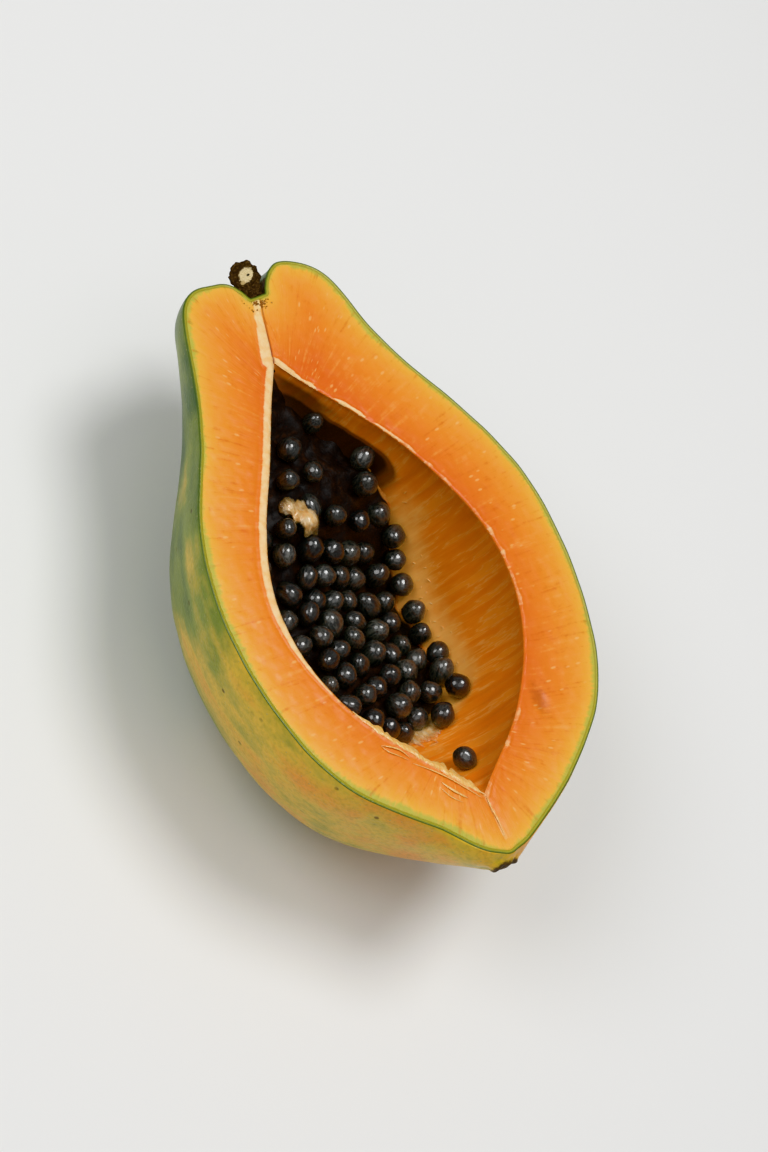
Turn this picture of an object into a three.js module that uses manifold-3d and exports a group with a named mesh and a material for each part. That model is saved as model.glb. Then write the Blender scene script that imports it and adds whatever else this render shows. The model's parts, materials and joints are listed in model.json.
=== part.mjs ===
// A ripe papaya cut in half lengthways, lying on its round back with the cut face up.
// The flesh and skin are one piece, hollowed by the seed chamber. The fruit's short stalk
// stands whole in its pit, a mass of seeds fills most of the chamber, and one seed lies apart.
// Millimetres. +X runs from the stalk to the blossom tip, +Z is up, and the cut face is level.
// The fruit is laid out from the stalk pit, with the knife's cut at z = 0, and is then moved so
// that its origin is under the middle of its bounding box, on the surface that it lies on.

import * as THREE from "three";
import { mergeVertices } from "three/addons/utils/BufferGeometryUtils.js";
import Module from "manifold-3d";

const wasm = await Module();
wasm.setup();

// The fruit's outline, as x along the fruit and radius about its own axis.
const pit = { x: 1.4, radius: 3.6 };            // flat floor where the stalk grows
const crest = { x: -4.9, radius: 9.8 };         // highest ring of the shoulders
const neck = { x: 12.5, radius: 25.1, slope: 16.6 };
const belly = { x: 78, radius: 48.7 };
const taper = { x: 121, radius: 36.4, slope: -38 };
const tip = { x: 147.6 };                       // blossom end
const lobes = { count: 5, swell: 0.009 };       // faint lobes round the skin
const shoulderLean = 1.0;                       // the far shoulder stands higher than the near one

// The fruit's axis lies below the cut, because the knife passed above the middle.
const axisDepths = { atStalk: 2.4, atBelly: 10.2, atTip: 5.0 };
const drift = { atStalk: -0.9, atBelly: 1.3, atTip: -3.0 };

// Below the cut the neck is shallower than it is wide, and the belly is fuller where it begins.
const waist = { share: 0.22, from: -16, full: 11, until: 12, end: 43 };
const fullness = { share: 0.04, x: 46, reach: 12 };

// The seed chamber: pointed at both ends, with its own axis that meets the cut there.
const chamberStart = { x: 17.8, slope: 28 };
const chamberBelly = { x: 78.7, radius: 31.6 };
const chamberEnd = { x: 131.1, slope: -45 };
const chamberAxis = { depth: 8.2, fullness: 0.8 };
const chamberDrift = { atStart: -4.6, atBelly: -0.7, atEnd: -2.8 };
const chamberLobes = { count: 5, swell: 0.03 };

const restCut = 1.4;                            // how much the back is flattened by its own weight
const gap = 0.4;                                // clearance between pieces that touch

// The stalk: a short stump that bends up out of its pit, with a slightly flared end.
const stalkFoot = new THREE.Vector3(1.0, -0.6, -2.9);
const stalkFace = new THREE.Vector3(-5.5, -0.5, -2.3);
const stalkFacing = new THREE.Vector3(-0.5, -0.2, 0.84);
const stalkRadius = { foot: 2.6, waist: 2.6, rim: 3.7 };

// The seed mass: heights of its top where it meets the near and the far wall of the chamber.
const heapNear = { atNeck: -6, atBelly: -13 };
const heapFar = { atNeck: -9.5, atBelly: -28.5, atFront: -23 };
const heapFall = { from: 44, to: 76 };          // the far side falls away between these
const heapFront = { x: 103, length: 9, drop: 20 };
const heapBumps = { height: 1.3, spacing: 7.4 };  // the seeds' own unevenness

// The seed that lies apart, on the chamber's wall at this angle from straight down.
const loneSeed = { x: 119.9, angle: 32, length: 6.2, width: 5.4, lift: 2.2 };

const ringSegments = 48;
const straightUp = new THREE.Vector3(0, 0, 1);

const radians = THREE.MathUtils.degToRad;
const ease = THREE.MathUtils.smoothstep;
const blend = THREE.MathUtils.lerp;

// A point moved from an anchor along a slope, for the handles of a Bezier curve.
function handle(anchor, slope, reach) {
  const x = anchor.x + reach * Math.cos(radians(slope));
  const radius = (anchor.radius ?? 0) + reach * Math.sin(radians(slope));
  return [x, radius];
}

// The skin's outline from the pit's floor, over the shoulder and the belly, to the blossom tip.
function skinOutline() {
  const outline = new THREE.Path();
  outline.moveTo(pit.x, 0);
  outline.lineTo(pit.x, pit.radius);
  outline.bezierCurveTo(
    ...handle(pit, 169, 2.6), ...handle(crest, -90, 3.4), crest.x, crest.radius);
  outline.bezierCurveTo(
    ...handle(crest, 90, 11.5), ...handle(neck, neck.slope, -10), neck.x, neck.radius);
  outline.bezierCurveTo(
    ...handle(neck, neck.slope, 27), ...handle(belly, 0, -30), belly.x, belly.radius);
  outline.bezierCurveTo(
    ...handle(belly, 0, 20), ...handle(taper, taper.slope, -8.5), taper.x, taper.radius);
  outline.bezierCurveTo(
    ...handle(taper, taper.slope, 13), ...handle(tip, 90, 4), tip.x, 0);
  return outline.getPoints(8);
}

function chamberOutline() {
  const outline = new THREE.Path();
  outline.moveTo(chamberStart.x, 0);
  outline.bezierCurveTo(
    ...handle(chamberStart, chamberStart.slope, 10.5), ...handle(chamberBelly, 0, -23),
    chamberBelly.x, chamberBelly.radius);
  outline.bezierCurveTo(
    ...handle(chamberBelly, 0, 26.5), ...handle(chamberEnd, chamberEnd.slope, -15),
    chamberEnd.x, 0);
  return outline.getPoints(13);
}

// How far the fruit's axis lies below the cut, and how far it drifts to one side.
function axisDepth(x) {
  const body = blend(axisDepths.atStalk, axisDepths.atBelly, ease(x, -10, 96));
  return blend(body, axisDepths.atTip, ease(x, 132, tip.x));
}

function axisDrift(x) {
  const body = blend(drift.atStalk, drift.atBelly, ease(x, 10, 45));
  return blend(body, drift.atTip, ease(x, 134, tip.x));
}

function chamberDepth(x) {
  const length = chamberEnd.x - chamberStart.x;
  const along = THREE.MathUtils.clamp((x - chamberStart.x) / length, 0, 1);
  return chamberAxis.depth * Math.sin(Math.PI * along) ** chamberAxis.fullness;
}

function chamberSide(x) {
  const body = blend(chamberDrift.atStart, chamberDrift.atBelly, ease(x, chamberStart.x, 48));
  return blend(body, chamberDrift.atEnd, ease(x, 116, chamberEnd.x));
}

// A form turned on a lathe along X and then reshaped: place gives each point's new position from
// its x, its radius and its angle round the axis, which is 0 straight down and 90 degrees at +Y.
function turnedForm(outline, place) {
  const profile = outline.map((point) => new THREE.Vector2(Math.max(point.y, 0), point.x));
  const form = new THREE.LatheGeometry(profile, ringSegments);
  const corners = form.getAttribute("position");
  for (let i = 0; i < corners.count; i++) {
    const side = corners.getX(i);
    const down = corners.getZ(i);
    const spot = place(corners.getY(i), Math.hypot(side, down), Math.atan2(side, down));
    corners.setXYZ(i, spot.x, spot.y, spot.z);
  }
  return solidOf(form);
}

function lobed(radius, angle, { count, swell }) {
  return radius * (1 - swell * Math.cos(count * angle));
}

// How deep the fruit is below the cut, as a share of the round form's depth. The pit stays round.
function depthShare(x, radius) {
  const thinner = waist.share * ease(x, waist.from, waist.full) * (1 - ease(x, waist.until, waist.end));
  const fuller = fullness.share * Math.exp(-(((x - fullness.x) / fullness.reach) ** 2));
  return 1 - (thinner - fuller) * ease(radius, 5, 16);
}

function skinPoint(x, radius, angle) {
  const reach = lobed(radius, angle, lobes);
  const onCrest = Math.exp(-(((radius - crest.radius) / 5) ** 2)) * (1 - ease(x, 0, neck.x));
  return {
    x: x - shoulderLean * Math.sin(angle) * onCrest,
    y: axisDrift(x) + reach * Math.sin(angle),
    z: (-axisDepth(x) - reach * Math.cos(angle)) * depthShare(x, radius),
  };
}

// The chamber's wall, or a form that stays clear of it by the given clearance.
function chamberPoint(clearance) {
  return (x, radius, angle) => {
    const reach = Math.max(lobed(radius, angle, chamberLobes) - clearance, 0);
    return {
      x,
      y: chamberSide(x) + reach * Math.sin(angle),
      z: -chamberDepth(x) - reach * Math.cos(angle),
    };
  };
}

// A closed geometry as a solid that can be cut, and a solid as a geometry again.
function solidOf(geometry) {
  geometry.deleteAttribute("normal");
  geometry.deleteAttribute("uv");
  const merged = mergeVertices(geometry);
  const vertProperties = merged.getAttribute("position").array;
  const triVerts = new Uint32Array(merged.index.array);
  return new wasm.Manifold(new wasm.Mesh({ numProp: 3, vertProperties, triVerts }));
}

function geometryOf(solid) {
  const { vertProperties, triVerts } = solid.getMesh();
  const geometry = new THREE.BufferGeometry();
  geometry.setAttribute("position", new THREE.BufferAttribute(vertProperties, 3));
  geometry.setIndex(new THREE.BufferAttribute(triVerts, 1));
  geometry.computeVertexNormals();
  return geometry;
}

// The space between the knife's cut and the flattened back, wider than the fruit.
function slabBetween(top, bottom) {
  const slab = new THREE.BoxGeometry(400, 400, top - bottom);
  slab.translate(0, 0, (top + bottom) / 2);
  return solidOf(slab);
}

function fruitHalf() {
  const whole = turnedForm(skinOutline(), skinPoint);
  const lowest = whole.boundingBox().min[2];
  const half = whole.intersect(slabBetween(0, lowest + restCut));
  return half.subtract(turnedForm(chamberOutline(), chamberPoint(0)));
}

// Bumps packed like honeycomb, from three waves that cross at 60 degrees.
function packedBumps(x, y, { height, spacing }) {
  const turn = (4 * Math.PI) / (Math.sqrt(3) * spacing);
  let sum = 0;
  for (const degrees of [10, 70, 130]) {
    const direction = radians(degrees);
    sum += Math.cos(turn * (x * Math.cos(direction) + y * Math.sin(direction)));
  }
  return (height * sum) / 3;
}

// The top of the seed mass: level in the neck, sloping down to the far wall in the belly,
// rounded off at its front, and uneven with the seeds that it is made of.
function heapTop(x, y) {
  const fall = ease(x, heapFall.from, heapFall.to);
  const near = blend(heapNear.atNeck, heapNear.atBelly, fall);
  const fallen = blend(heapFar.atNeck, heapFar.atBelly, fall);
  const far = blend(fallen, heapFar.atFront, ease(x, 82, heapFront.x));
  const across = ease(y, -24, 24);
  const front = Math.max(x - heapFront.x, 0) / heapFront.length;
  const level = blend(near, far, across) - heapFront.drop * front ** 2;
  return level + packedBumps(x + 0.8 * Math.sin(y / 4), y, heapBumps);
}

function seedHeap() {
  const start = chamberStart.x;
  const end = heapFront.x + heapFront.length + 3;
  const width = 2 * chamberBelly.radius + 4;
  const floor = -60;
  const block = new THREE.BoxGeometry(end - start, width, 1, 46, 32, 1);
  block.translate((start + end) / 2, 0, 0);
  const corners = block.getAttribute("position");
  for (let i = 0; i < corners.count; i++) {
    const top = heapTop(corners.getX(i), corners.getY(i));
    corners.setZ(i, corners.getZ(i) > 0 ? top : floor);
  }
  const mound = solidOf(block);
  return mound.intersect(turnedForm(chamberOutline(), chamberPoint(gap)));
}

// The stalk, as rings that turn from facing along the fruit to facing up at the cut end.
function stalk() {
  const rings = 8;
  const sides = 18;
  const points = [stalkFoot.clone()];
  for (let ring = 0; ring <= rings; ring++) {
    const along = ring / rings;
    const centre = stalkFoot.clone().lerp(stalkFace, along);
    const facing = new THREE.Vector3(-1, 0, 0).lerp(stalkFacing, along).normalize();
    const across = facing.clone().cross(straightUp).normalize();
    const upward = across.clone().cross(facing);
    const thin = blend(stalkRadius.foot, stalkRadius.waist, ease(along, 0, 0.5));
    const radius = blend(thin, stalkRadius.rim, ease(along, 0.45, 0.9));
    for (let side = 0; side < sides; side++) {
      const angle = (2 * Math.PI * side) / sides;
      const point = centre.clone();
      point.addScaledVector(across, radius * Math.cos(angle));
      point.addScaledVector(upward, radius * Math.sin(angle));
      points.push(point);
    }
  }
  points.push(stalkFace.clone());
  const faces = [];
  const last = points.length - 1;
  for (let side = 0; side < sides; side++) {
    const next = (side + 1) % sides;
    faces.push(0, 1 + side, 1 + next);
    for (let ring = 0; ring < rings; ring++) {
      const here = 1 + ring * sides;
      const there = here + sides;
      faces.push(here + side, there + next, here + next);
      faces.push(here + side, there + side, there + next);
    }
    faces.push(last, last - sides + next, last - sides + side);
  }
  const geometry = new THREE.BufferGeometry().setFromPoints(points);
  geometry.setIndex(faces);
  geometry.computeVertexNormals();
  return geometry;
}

// The radius of an outline at a given x, between its two nearest points.
function radiusAt(outline, x) {
  const next = outline.findIndex((point) => point.x > x);
  const before = outline[next - 1];
  const after = outline[next];
  return blend(before.y, after.y, (x - before.x) / (after.x - before.x));
}

function seedOnWall({ x, angle, length, width, lift }) {
  const radius = radiusAt(chamberOutline(), x);
  const spot = chamberPoint(width / 2 + lift)(x, radius, radians(angle));
  const geometry = new THREE.SphereGeometry(0.5, 18, 12);
  geometry.scale(length, width, width);
  geometry.rotateZ(radians(35));
  geometry.translate(spot.x, spot.y, spot.z);
  return geometry;
}

function piece(name, geometry, color, roughness) {
  const material = new THREE.MeshStandardMaterial({ color, roughness, metalness: 0 });
  const mesh = new THREE.Mesh(geometry, material);
  mesh.name = name;
  return mesh;
}

const papaya = new THREE.Group();
papaya.add(piece("fruit_half", geometryOf(fruitHalf()), 0xec8a3c, 0.45));
papaya.add(piece("stalk_stub", stalk(), 0x6f5b3a, 0.85));
papaya.add(piece("seed_heap", geometryOf(seedHeap()), 0x1d1a17, 0.25));
papaya.add(piece("lone_seed", seedOnWall(loneSeed), 0x1d1a17, 0.25));

const bounds = new THREE.Box3().setFromObject(papaya);
const middle = bounds.getCenter(new THREE.Vector3());
papaya.position.set(-middle.x, -middle.y, -bounds.min.z);

const model = new THREE.Group();
model.add(papaya);

export default model;
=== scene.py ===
import json
import math

import bmesh
import bpy
import numpy as np
from mathutils import Matrix, Vector, noise

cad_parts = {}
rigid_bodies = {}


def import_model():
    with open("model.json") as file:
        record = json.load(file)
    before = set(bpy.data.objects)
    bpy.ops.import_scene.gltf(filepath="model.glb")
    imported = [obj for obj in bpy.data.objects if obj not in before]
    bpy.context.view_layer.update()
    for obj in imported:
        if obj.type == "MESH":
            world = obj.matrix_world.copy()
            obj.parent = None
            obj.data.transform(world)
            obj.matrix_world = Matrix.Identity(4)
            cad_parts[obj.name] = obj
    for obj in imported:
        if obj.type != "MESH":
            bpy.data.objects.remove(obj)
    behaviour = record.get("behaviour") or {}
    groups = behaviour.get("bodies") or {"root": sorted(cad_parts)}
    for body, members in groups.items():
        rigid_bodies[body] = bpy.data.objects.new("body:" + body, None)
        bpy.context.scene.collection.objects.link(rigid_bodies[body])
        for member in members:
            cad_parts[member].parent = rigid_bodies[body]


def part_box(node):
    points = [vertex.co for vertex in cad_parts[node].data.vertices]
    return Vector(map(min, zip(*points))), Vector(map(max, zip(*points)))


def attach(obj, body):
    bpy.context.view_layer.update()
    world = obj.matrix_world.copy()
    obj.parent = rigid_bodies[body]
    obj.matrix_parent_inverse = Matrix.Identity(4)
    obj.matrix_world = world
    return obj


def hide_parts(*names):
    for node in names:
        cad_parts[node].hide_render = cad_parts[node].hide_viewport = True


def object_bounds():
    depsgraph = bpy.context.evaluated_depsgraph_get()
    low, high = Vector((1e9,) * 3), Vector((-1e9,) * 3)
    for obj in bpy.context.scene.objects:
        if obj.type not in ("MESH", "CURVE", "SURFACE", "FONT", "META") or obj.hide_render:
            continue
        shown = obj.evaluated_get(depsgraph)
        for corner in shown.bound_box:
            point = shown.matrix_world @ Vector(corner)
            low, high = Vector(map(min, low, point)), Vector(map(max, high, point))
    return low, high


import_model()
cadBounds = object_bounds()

# The fruit is laid out in millimetres from its stalk pit, with the knife's cut at z = 0.
# An outline runs through anchors: x along the fruit, radius about its axis, the line's heading
# there in degrees, and how far the line keeps to that heading before the anchor and after it.
fruit = {
    "pit": (1.4, 3.6, 169, 0, 2.6),        # flat floor where the stalk grows
    "crest": (-4.9, 9.8, 90, 3.4, 11.5),   # highest ring of the shoulders
    "neck": (12.5, 25.1, 16.6, 10, 27),
    "belly": (78.0, 48.7, 0, 30, 20),
    "taper": (121.0, 36.4, -38, 8.5, 13),
    "tip": (147.6, 0.0, -90, 4, 0),        # blossom end
    "lobes": (5, 0.009),                   # how many, and how far they swell
    "shoulderLean": 1.0,
    "axisDepths": (2.4, 10.2, 5.0),        # of the axis below the cut: at stalk, belly and tip
    "depthsAt": (-10, 96, 132),            # where it leaves the first, is at the second, leaves it
    "drifts": (-0.9, 1.3, -3.0),           # of the axis to one side, in the same way
    "driftsAt": (10, 45, 134),
    # below the cut the neck is shallower than it is wide: by what share, from where it grows until
    # it is full, and from where it fades until it is gone
    "waist": (0.22, -16.0, 11.0, 12.0, 43.0),
    "fullness": (0.04, 46.0, 12.0),        # and the belly fuller: by what share, where, how far round
}
chamber = {
    "start": (17.8, 0.0, 28, 0, 10.5),
    "belly": (78.7, 31.6, 0, 23, 26.5),
    "end": (131.1, 0.0, -45, 15, 0),
    "axisDepth": 8.2,                      # of its axis below the cut, in the middle
    "axisFullness": 0.8,                   # under 1, it stays near that for longer
    "drifts": (-4.6, -0.7, -2.8),
    "driftsAt": (17.8, 48, 116),
    "lobes": (5, 0.03),
}

fruitLow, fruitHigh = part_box("fruit_half")
origin = np.array([
    fruitHigh.x * 1000 - fruit["tip"][0],
    (fruitLow.y + fruitHigh.y) * 500 - fruit["drifts"][1],
    fruitHigh.z * 1000,
])
restZ = -(fruitHigh.z - fruitLow.z) * 1000     # what the fruit lies on


def toFrame(points):
    return (np.asarray(points, float) + origin) * 0.001


def ease(x, low, high):
    t = np.clip((np.asarray(x, float) - low) / (high - low), 0, 1)
    return t * t * (3 - 2 * t)


def blend(a, b, t):
    return a + (b - a) * t


def bell(x, width):
    return np.exp(-(x / width) ** 2)


def bumps(points, spacing, offset=0.0):
    # smooth noise of about -0.5 to 0.5 at each point
    flat = points.reshape(-1, 3) / spacing + offset
    return np.array([noise.noise(Vector(p)) for p in flat]).reshape(points.shape[:-1])


def unit(vectors):
    return vectors / np.maximum(np.linalg.norm(vectors, axis=-1, keepdims=True), 1e-12)


def travelled(line):
    # how far it is along a line of points to each of them
    return np.concatenate([[0], np.cumsum(np.linalg.norm(np.diff(line, axis=0), axis=1))])


def cubic(a, b, c, d, t):
    return a * (1 - t) ** 3 + 3 * b * t * (1 - t) ** 2 + 3 * c * t ** 2 * (1 - t) + d * t ** 3


# The fruit's form.

def outlineThrough(anchors, count=240):
    def handle(anchor, reach):
        angle = math.radians(anchor[2])
        return np.array(anchor[:2]) + reach * np.array((math.cos(angle), math.sin(angle)))

    t = np.linspace(0, 1, count)[:, None]
    line = [np.array([anchors[0][:2]], float)]
    for a, b in zip(anchors, anchors[1:]):
        line.append(cubic(np.array(a[:2]), handle(a, a[4]), handle(b, -b[3]), np.array(b[:2]), t)[1:])
    return np.vstack(line)


def skinOutline():
    floor = np.linspace((fruit["pit"][0], 0), fruit["pit"][:2], 60)
    names = ("pit", "crest", "neck", "belly", "taper", "tip")
    return np.vstack([floor[:-1], outlineThrough([fruit[name] for name in names])])


def chamberOutline():
    return outlineThrough([chamber[name] for name in ("start", "belly", "end")])


def along(x, values, places, end):
    # from the first value to the second, and from there to the third, which it reaches at the end
    first, second, third = values
    return blend(blend(first, second, ease(x, places[0], places[1])), third, ease(x, places[2], end))


def axisDepth(x):
    return along(x, fruit["axisDepths"], fruit["depthsAt"], fruit["tip"][0])


def axisDrift(x):
    return along(x, fruit["drifts"], fruit["driftsAt"], fruit["tip"][0])


def chamberDrift(x):
    return along(x, chamber["drifts"], chamber["driftsAt"], chamber["end"][0])


def chamberDepth(x):
    start, end = chamber["start"][0], chamber["end"][0]
    share = np.clip((np.asarray(x, float) - start) / (end - start), 0, 1)
    return chamber["axisDepth"] * np.abs(np.sin(np.pi * share)) ** chamber["axisFullness"]


pitMiddle = np.array([fruit["pit"][0], fruit["drifts"][0], -fruit["axisDepths"][0]])
tipMiddle = np.array([fruit["tip"][0], axisDrift(fruit["tip"][0]), -axisDepth(fruit["tip"][0])])


def lobed(radius, angle, lobes):
    count, swell = lobes
    return radius * (1 - swell * np.cos(count * angle))


def depthShare(x, radius):
    # how deep the fruit is below the cut, as a share of the round form's depth
    share, start, full, until, end = fruit["waist"]
    thinner = share * ease(x, start, full) * (1 - ease(x, until, end))
    share, middle, reach = fruit["fullness"]
    return 1 - (thinner - share * bell(x - middle, reach)) * ease(radius, 5, 16)


# Angles go round the axis from straight down, and 90 degrees is at +Y.
def skinPoint(x, radius, angle):
    reach = lobed(radius, angle, fruit["lobes"])
    onCrest = bell(radius - fruit["crest"][1], 5) * (1 - ease(x, 0, fruit["neck"][0]))
    return np.stack([
        x - fruit["shoulderLean"] * np.sin(angle) * onCrest,
        axisDrift(x) + reach * np.sin(angle),
        (-axisDepth(x) - reach * np.cos(angle)) * depthShare(x, radius),
    ], axis=-1)


def chamberPoint(x, radius, angle):
    reach = lobed(radius, angle, chamber["lobes"])
    return np.stack([
        x + 0 * angle,
        chamberDrift(x) + reach * np.sin(angle),
        -chamberDepth(x) - reach * np.cos(angle),
    ], axis=-1)


def rimAngle(radius, depth, lobes):
    # how far round a section goes before it meets the cut: half a turn if it is all below
    angle = np.full(np.shape(radius), math.pi / 2)
    for _ in range(60):
        reach = np.maximum(lobed(radius, angle, lobes), 1e-6)
        angle = np.arccos(np.clip(-depth / reach, -1, 1))
    return angle


def rimStations(outline, depthOf, lobes, shares):
    # Places on an outline that share out its line on the cut, and what comes before and after.
    clear = outline[:, 1] * (1 + lobes[1]) - depthOf(outline[:, 0])
    cut = np.flatnonzero(clear > 0)
    first, last = cut[0], cut[-1]

    def crossing(a, b):
        return outline[a] + (outline[b] - outline[a]) * clear[a] / (clear[a] - clear[b])

    stretch = np.vstack([crossing(first - 1, first), outline[cut], crossing(last, last + 1)])
    angle = rimAngle(stretch[:, 1], depthOf(stretch[:, 0]), lobes)
    across = lobed(stretch[:, 1], angle, lobes) * np.sin(angle)
    way = travelled(np.column_stack([stretch[:, 0], across]))
    at = np.asarray(shares) * way[-1]
    stations = np.column_stack([np.interp(at, way, stretch[:, k]) for k in (0, 1)])
    return stations, outline[:first], outline[last + 1:]


def chamberStations(shares):
    # places along the chamber's rim, and how far round the chamber goes at each
    stations, _, _ = rimStations(chamberOutline(), chamberDepth, chamber["lobes"], shares)
    return stations, rimAngle(stations[:, 1], chamberDepth(stations[:, 0]), chamber["lobes"])


def resampled(line, count):
    way = travelled(line)
    at = np.linspace(0, way[-1], count)
    return np.column_stack([np.interp(at, way, line[:, k]) for k in range(line.shape[1])])


def smoothed(points, count):
    # an even, rounded line through the middle of a few straight ones
    line = np.array(points, float)
    for _ in range(4):
        near, far = line[:-1] * 0.75 + line[1:] * 0.25, line[:-1] * 0.25 + line[1:] * 0.75
        line = np.vstack([line[:1], np.stack([near, far], 1).reshape(-1, line.shape[1]), line[-1:]])
    return resampled(line, count)


def gridNormals(points):
    return unit(np.cross(np.gradient(points, axis=0), np.gradient(points, axis=1)))


def stitched(grids, flips):
    # several grids as one list of points and one of faces
    faces, start = [], 0
    for grid, flip in zip(grids, flips):
        rows, columns = grid.shape[:2]
        corner = np.arange(rows * columns).reshape(rows, columns) + start
        quads = np.stack([corner[:-1, :-1], corner[1:, :-1], corner[1:, 1:], corner[:-1, 1:]], -1)
        quads = quads.reshape(-1, 4)
        faces.append(quads[:, ::-1] if flip else quads)
        start += rows * columns
    return np.vstack([grid.reshape(-1, 3) for grid in grids]), np.vstack(faces)


def nearest(points, line):
    # distance on the cut from each point to a line of points
    flat = points.reshape(-1, points.shape[-1])[:, :2]
    found = np.empty(len(flat))
    atOnce = 2000
    for at in range(0, len(flat), atOnce):
        gaps = flat[at:at + atOnce, None] - line[None, :, :2]
        found[at:at + atOnce] = np.sqrt((gaps ** 2).sum(-1).min(1))
    return found.reshape(points.shape[:-1])


def toSegment(points, a, b):
    a, b = np.asarray(a[:2], float), np.asarray(b[:2], float)
    flat = points[..., :2]
    t = np.clip(((flat - a) @ (b - a)) / ((b - a) @ (b - a)), 0, 1)
    return np.linalg.norm(flat - (a + t[..., None] * (b - a)), axis=-1)


# Nodes.

class Wire:
    # A socket in node maths: + - * / with numbers or other wires.
    def __init__(self, nodes, socket):
        self.nodes, self.socket = nodes, socket

    def math(self, operation, *values):
        return self.nodes.add("ShaderNodeMath", {"operation": operation}, dict(enumerate(values)))

    def __add__(self, other):
        return self.math("ADD", self, other)

    def __sub__(self, other):
        return self.math("SUBTRACT", self, other)

    def __rsub__(self, other):
        return self.math("SUBTRACT", other, self)

    def __mul__(self, other):
        return self.math("MULTIPLY", self, other)

    def __truediv__(self, other):
        return self.math("DIVIDE", self, other)

    def __rtruediv__(self, other):
        return self.math("DIVIDE", other, self)

    def __neg__(self):
        return self.math("MULTIPLY", self, -1)

    __radd__ = __add__
    __rmul__ = __mul__

    def ease(self, low, high):
        settings = {"interpolation_type": "SMOOTHSTEP"}
        sockets = {"Value": self, "From Min": low, "From Max": high}
        return self.nodes.add("ShaderNodeMapRange", settings, sockets)

    def size(self):
        return self.math("ABSOLUTE", self)

    def other(self, name):
        return Wire(self.nodes, self.socket.node.outputs[name])


class Nodes:
    # Makes the nodes of one tree, for a material or for Geometry Nodes.
    def __init__(self, tree):
        self.tree = tree

    def add(self, kind, settings=None, sockets=None, out=0):
        node = self.tree.nodes.new(kind)
        for name, value in (settings or {}).items():
            if name == "stops":
                self.setStops(node.color_ramp.elements, value)
            else:
                setattr(node, name, value)
        for name, value in (sockets or {}).items():
            self.plug(node.inputs[name], value)
        return Wire(self, node.outputs[out]) if len(node.outputs) else node

    def plug(self, socket, value):
        if isinstance(value, Wire):
            self.tree.links.new(value.socket, socket)
        elif socket.type == "RGBA" and len(value) == 3:
            socket.default_value = (*value, 1)
        else:
            socket.default_value = value

    def setStops(self, elements, stops):
        while len(elements) < len(stops):
            elements.new(1)
        for element, (position, colour) in zip(elements, stops):
            element.position = position
            element.color = (*colour, 1)


class Finish(Nodes):
    # A material with one Principled shader. The fixed numbers are set on its own sockets.
    def __init__(self, name, fixed):
        self.material = bpy.data.materials.new(name)
        self.material.use_nodes = True
        super().__init__(self.material.node_tree)
        self.shader = self.tree.nodes["Principled BSDF"]
        for socket, value in fixed.items():
            self.plug(self.shader.inputs[socket], value)

    def attribute(self, name, out="Fac"):
        return self.add("ShaderNodeAttribute", {"attribute_name": name}, out=out)

    def place(self):
        # object coordinates in millimetres
        where = self.add("ShaderNodeTexCoord", out="Object")
        return self.add("ShaderNodeVectorMath", {"operation": "SCALE"}, {0: where, "Scale": 1000})

    def stretch(self, vector, by):
        return self.add("ShaderNodeVectorMath", {"operation": "MULTIPLY"}, {0: vector, 1: by})

    def cloud(self, vector, scale=1.0, detail=2.0, roughness=0.5):
        sockets = {"Vector": vector, "Scale": scale, "Detail": detail, "Roughness": roughness}
        return self.add("ShaderNodeTexNoise", {}, sockets)

    def cells(self, vector, scale=1.0):
        return self.add("ShaderNodeTexVoronoi", {}, {"Vector": vector, "Scale": scale})

    def mix(self, factor, a, b):
        return self.add("ShaderNodeMix", {"data_type": "RGBA"}, {0: factor, 6: a, 7: b}, out=2)

    def ramp(self, factor, stops):
        return self.add("ShaderNodeValToRGB", {"stops": stops}, {"Fac": factor})

    def close(self, colour, roughness, height, distance, strength):
        # the height is a bump of so many metres
        sockets = {"Height": height, "Distance": distance, "Strength": strength}
        bump = self.add("ShaderNodeBump", {}, sockets)
        for socket, wire in (("Base Color", colour), ("Roughness", roughness), ("Normal", bump)):
            self.plug(self.shader.inputs[socket], wire)
        return self


def linear(red, green, blue):
    # a colour given as it looks on a screen, 0 to 255
    return tuple(((c / 255 + 0.055) / 1.055) ** 2.4 if c > 10 else c / 3294 for c in (red, green, blue))


# Pieces.

def putIn(name, data):
    thing = bpy.data.objects.new(name, data)
    bpy.context.scene.collection.objects.link(thing)
    return thing


def makePiece(name, points, faces, finish, slot, stands, attributes=None, weld=0.002):
    mesh = bpy.data.meshes.new(name)
    mesh.from_pydata(toFrame(points).tolist(), [], np.asarray(faces).tolist())
    for key, values in (attributes or {}).items():
        kind, field = ("FLOAT", "value") if values.ndim == 1 else ("FLOAT_VECTOR", "vector")
        mesh.attributes.new(key, kind, "POINT").data.foreach_set(field, values.ravel())
    shape = bmesh.new()
    shape.from_mesh(mesh)
    bmesh.ops.remove_doubles(shape, verts=shape.verts, dist=weld * 0.001)
    bmesh.ops.dissolve_degenerate(shape, edges=shape.edges, dist=1e-7)
    if shape.calc_volume(signed=True) < 0:
        bmesh.ops.reverse_faces(shape, faces=shape.faces)
    shape.to_mesh(mesh)
    shape.free()
    finishPiece(name, mesh, finish, stands)


def finishPiece(name, mesh, finish, stands):
    mesh.materials.clear()
    mesh.materials.append(finish.material)
    mesh.shade_smooth()
    piece = putIn(name, mesh)
    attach(piece, "root")
    if stands:
        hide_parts(*stands)
    print(f"{name}: {len(mesh.vertices)} vertices, {len(mesh.polygons)} faces")


# The skin and the flesh inside it.

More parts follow.
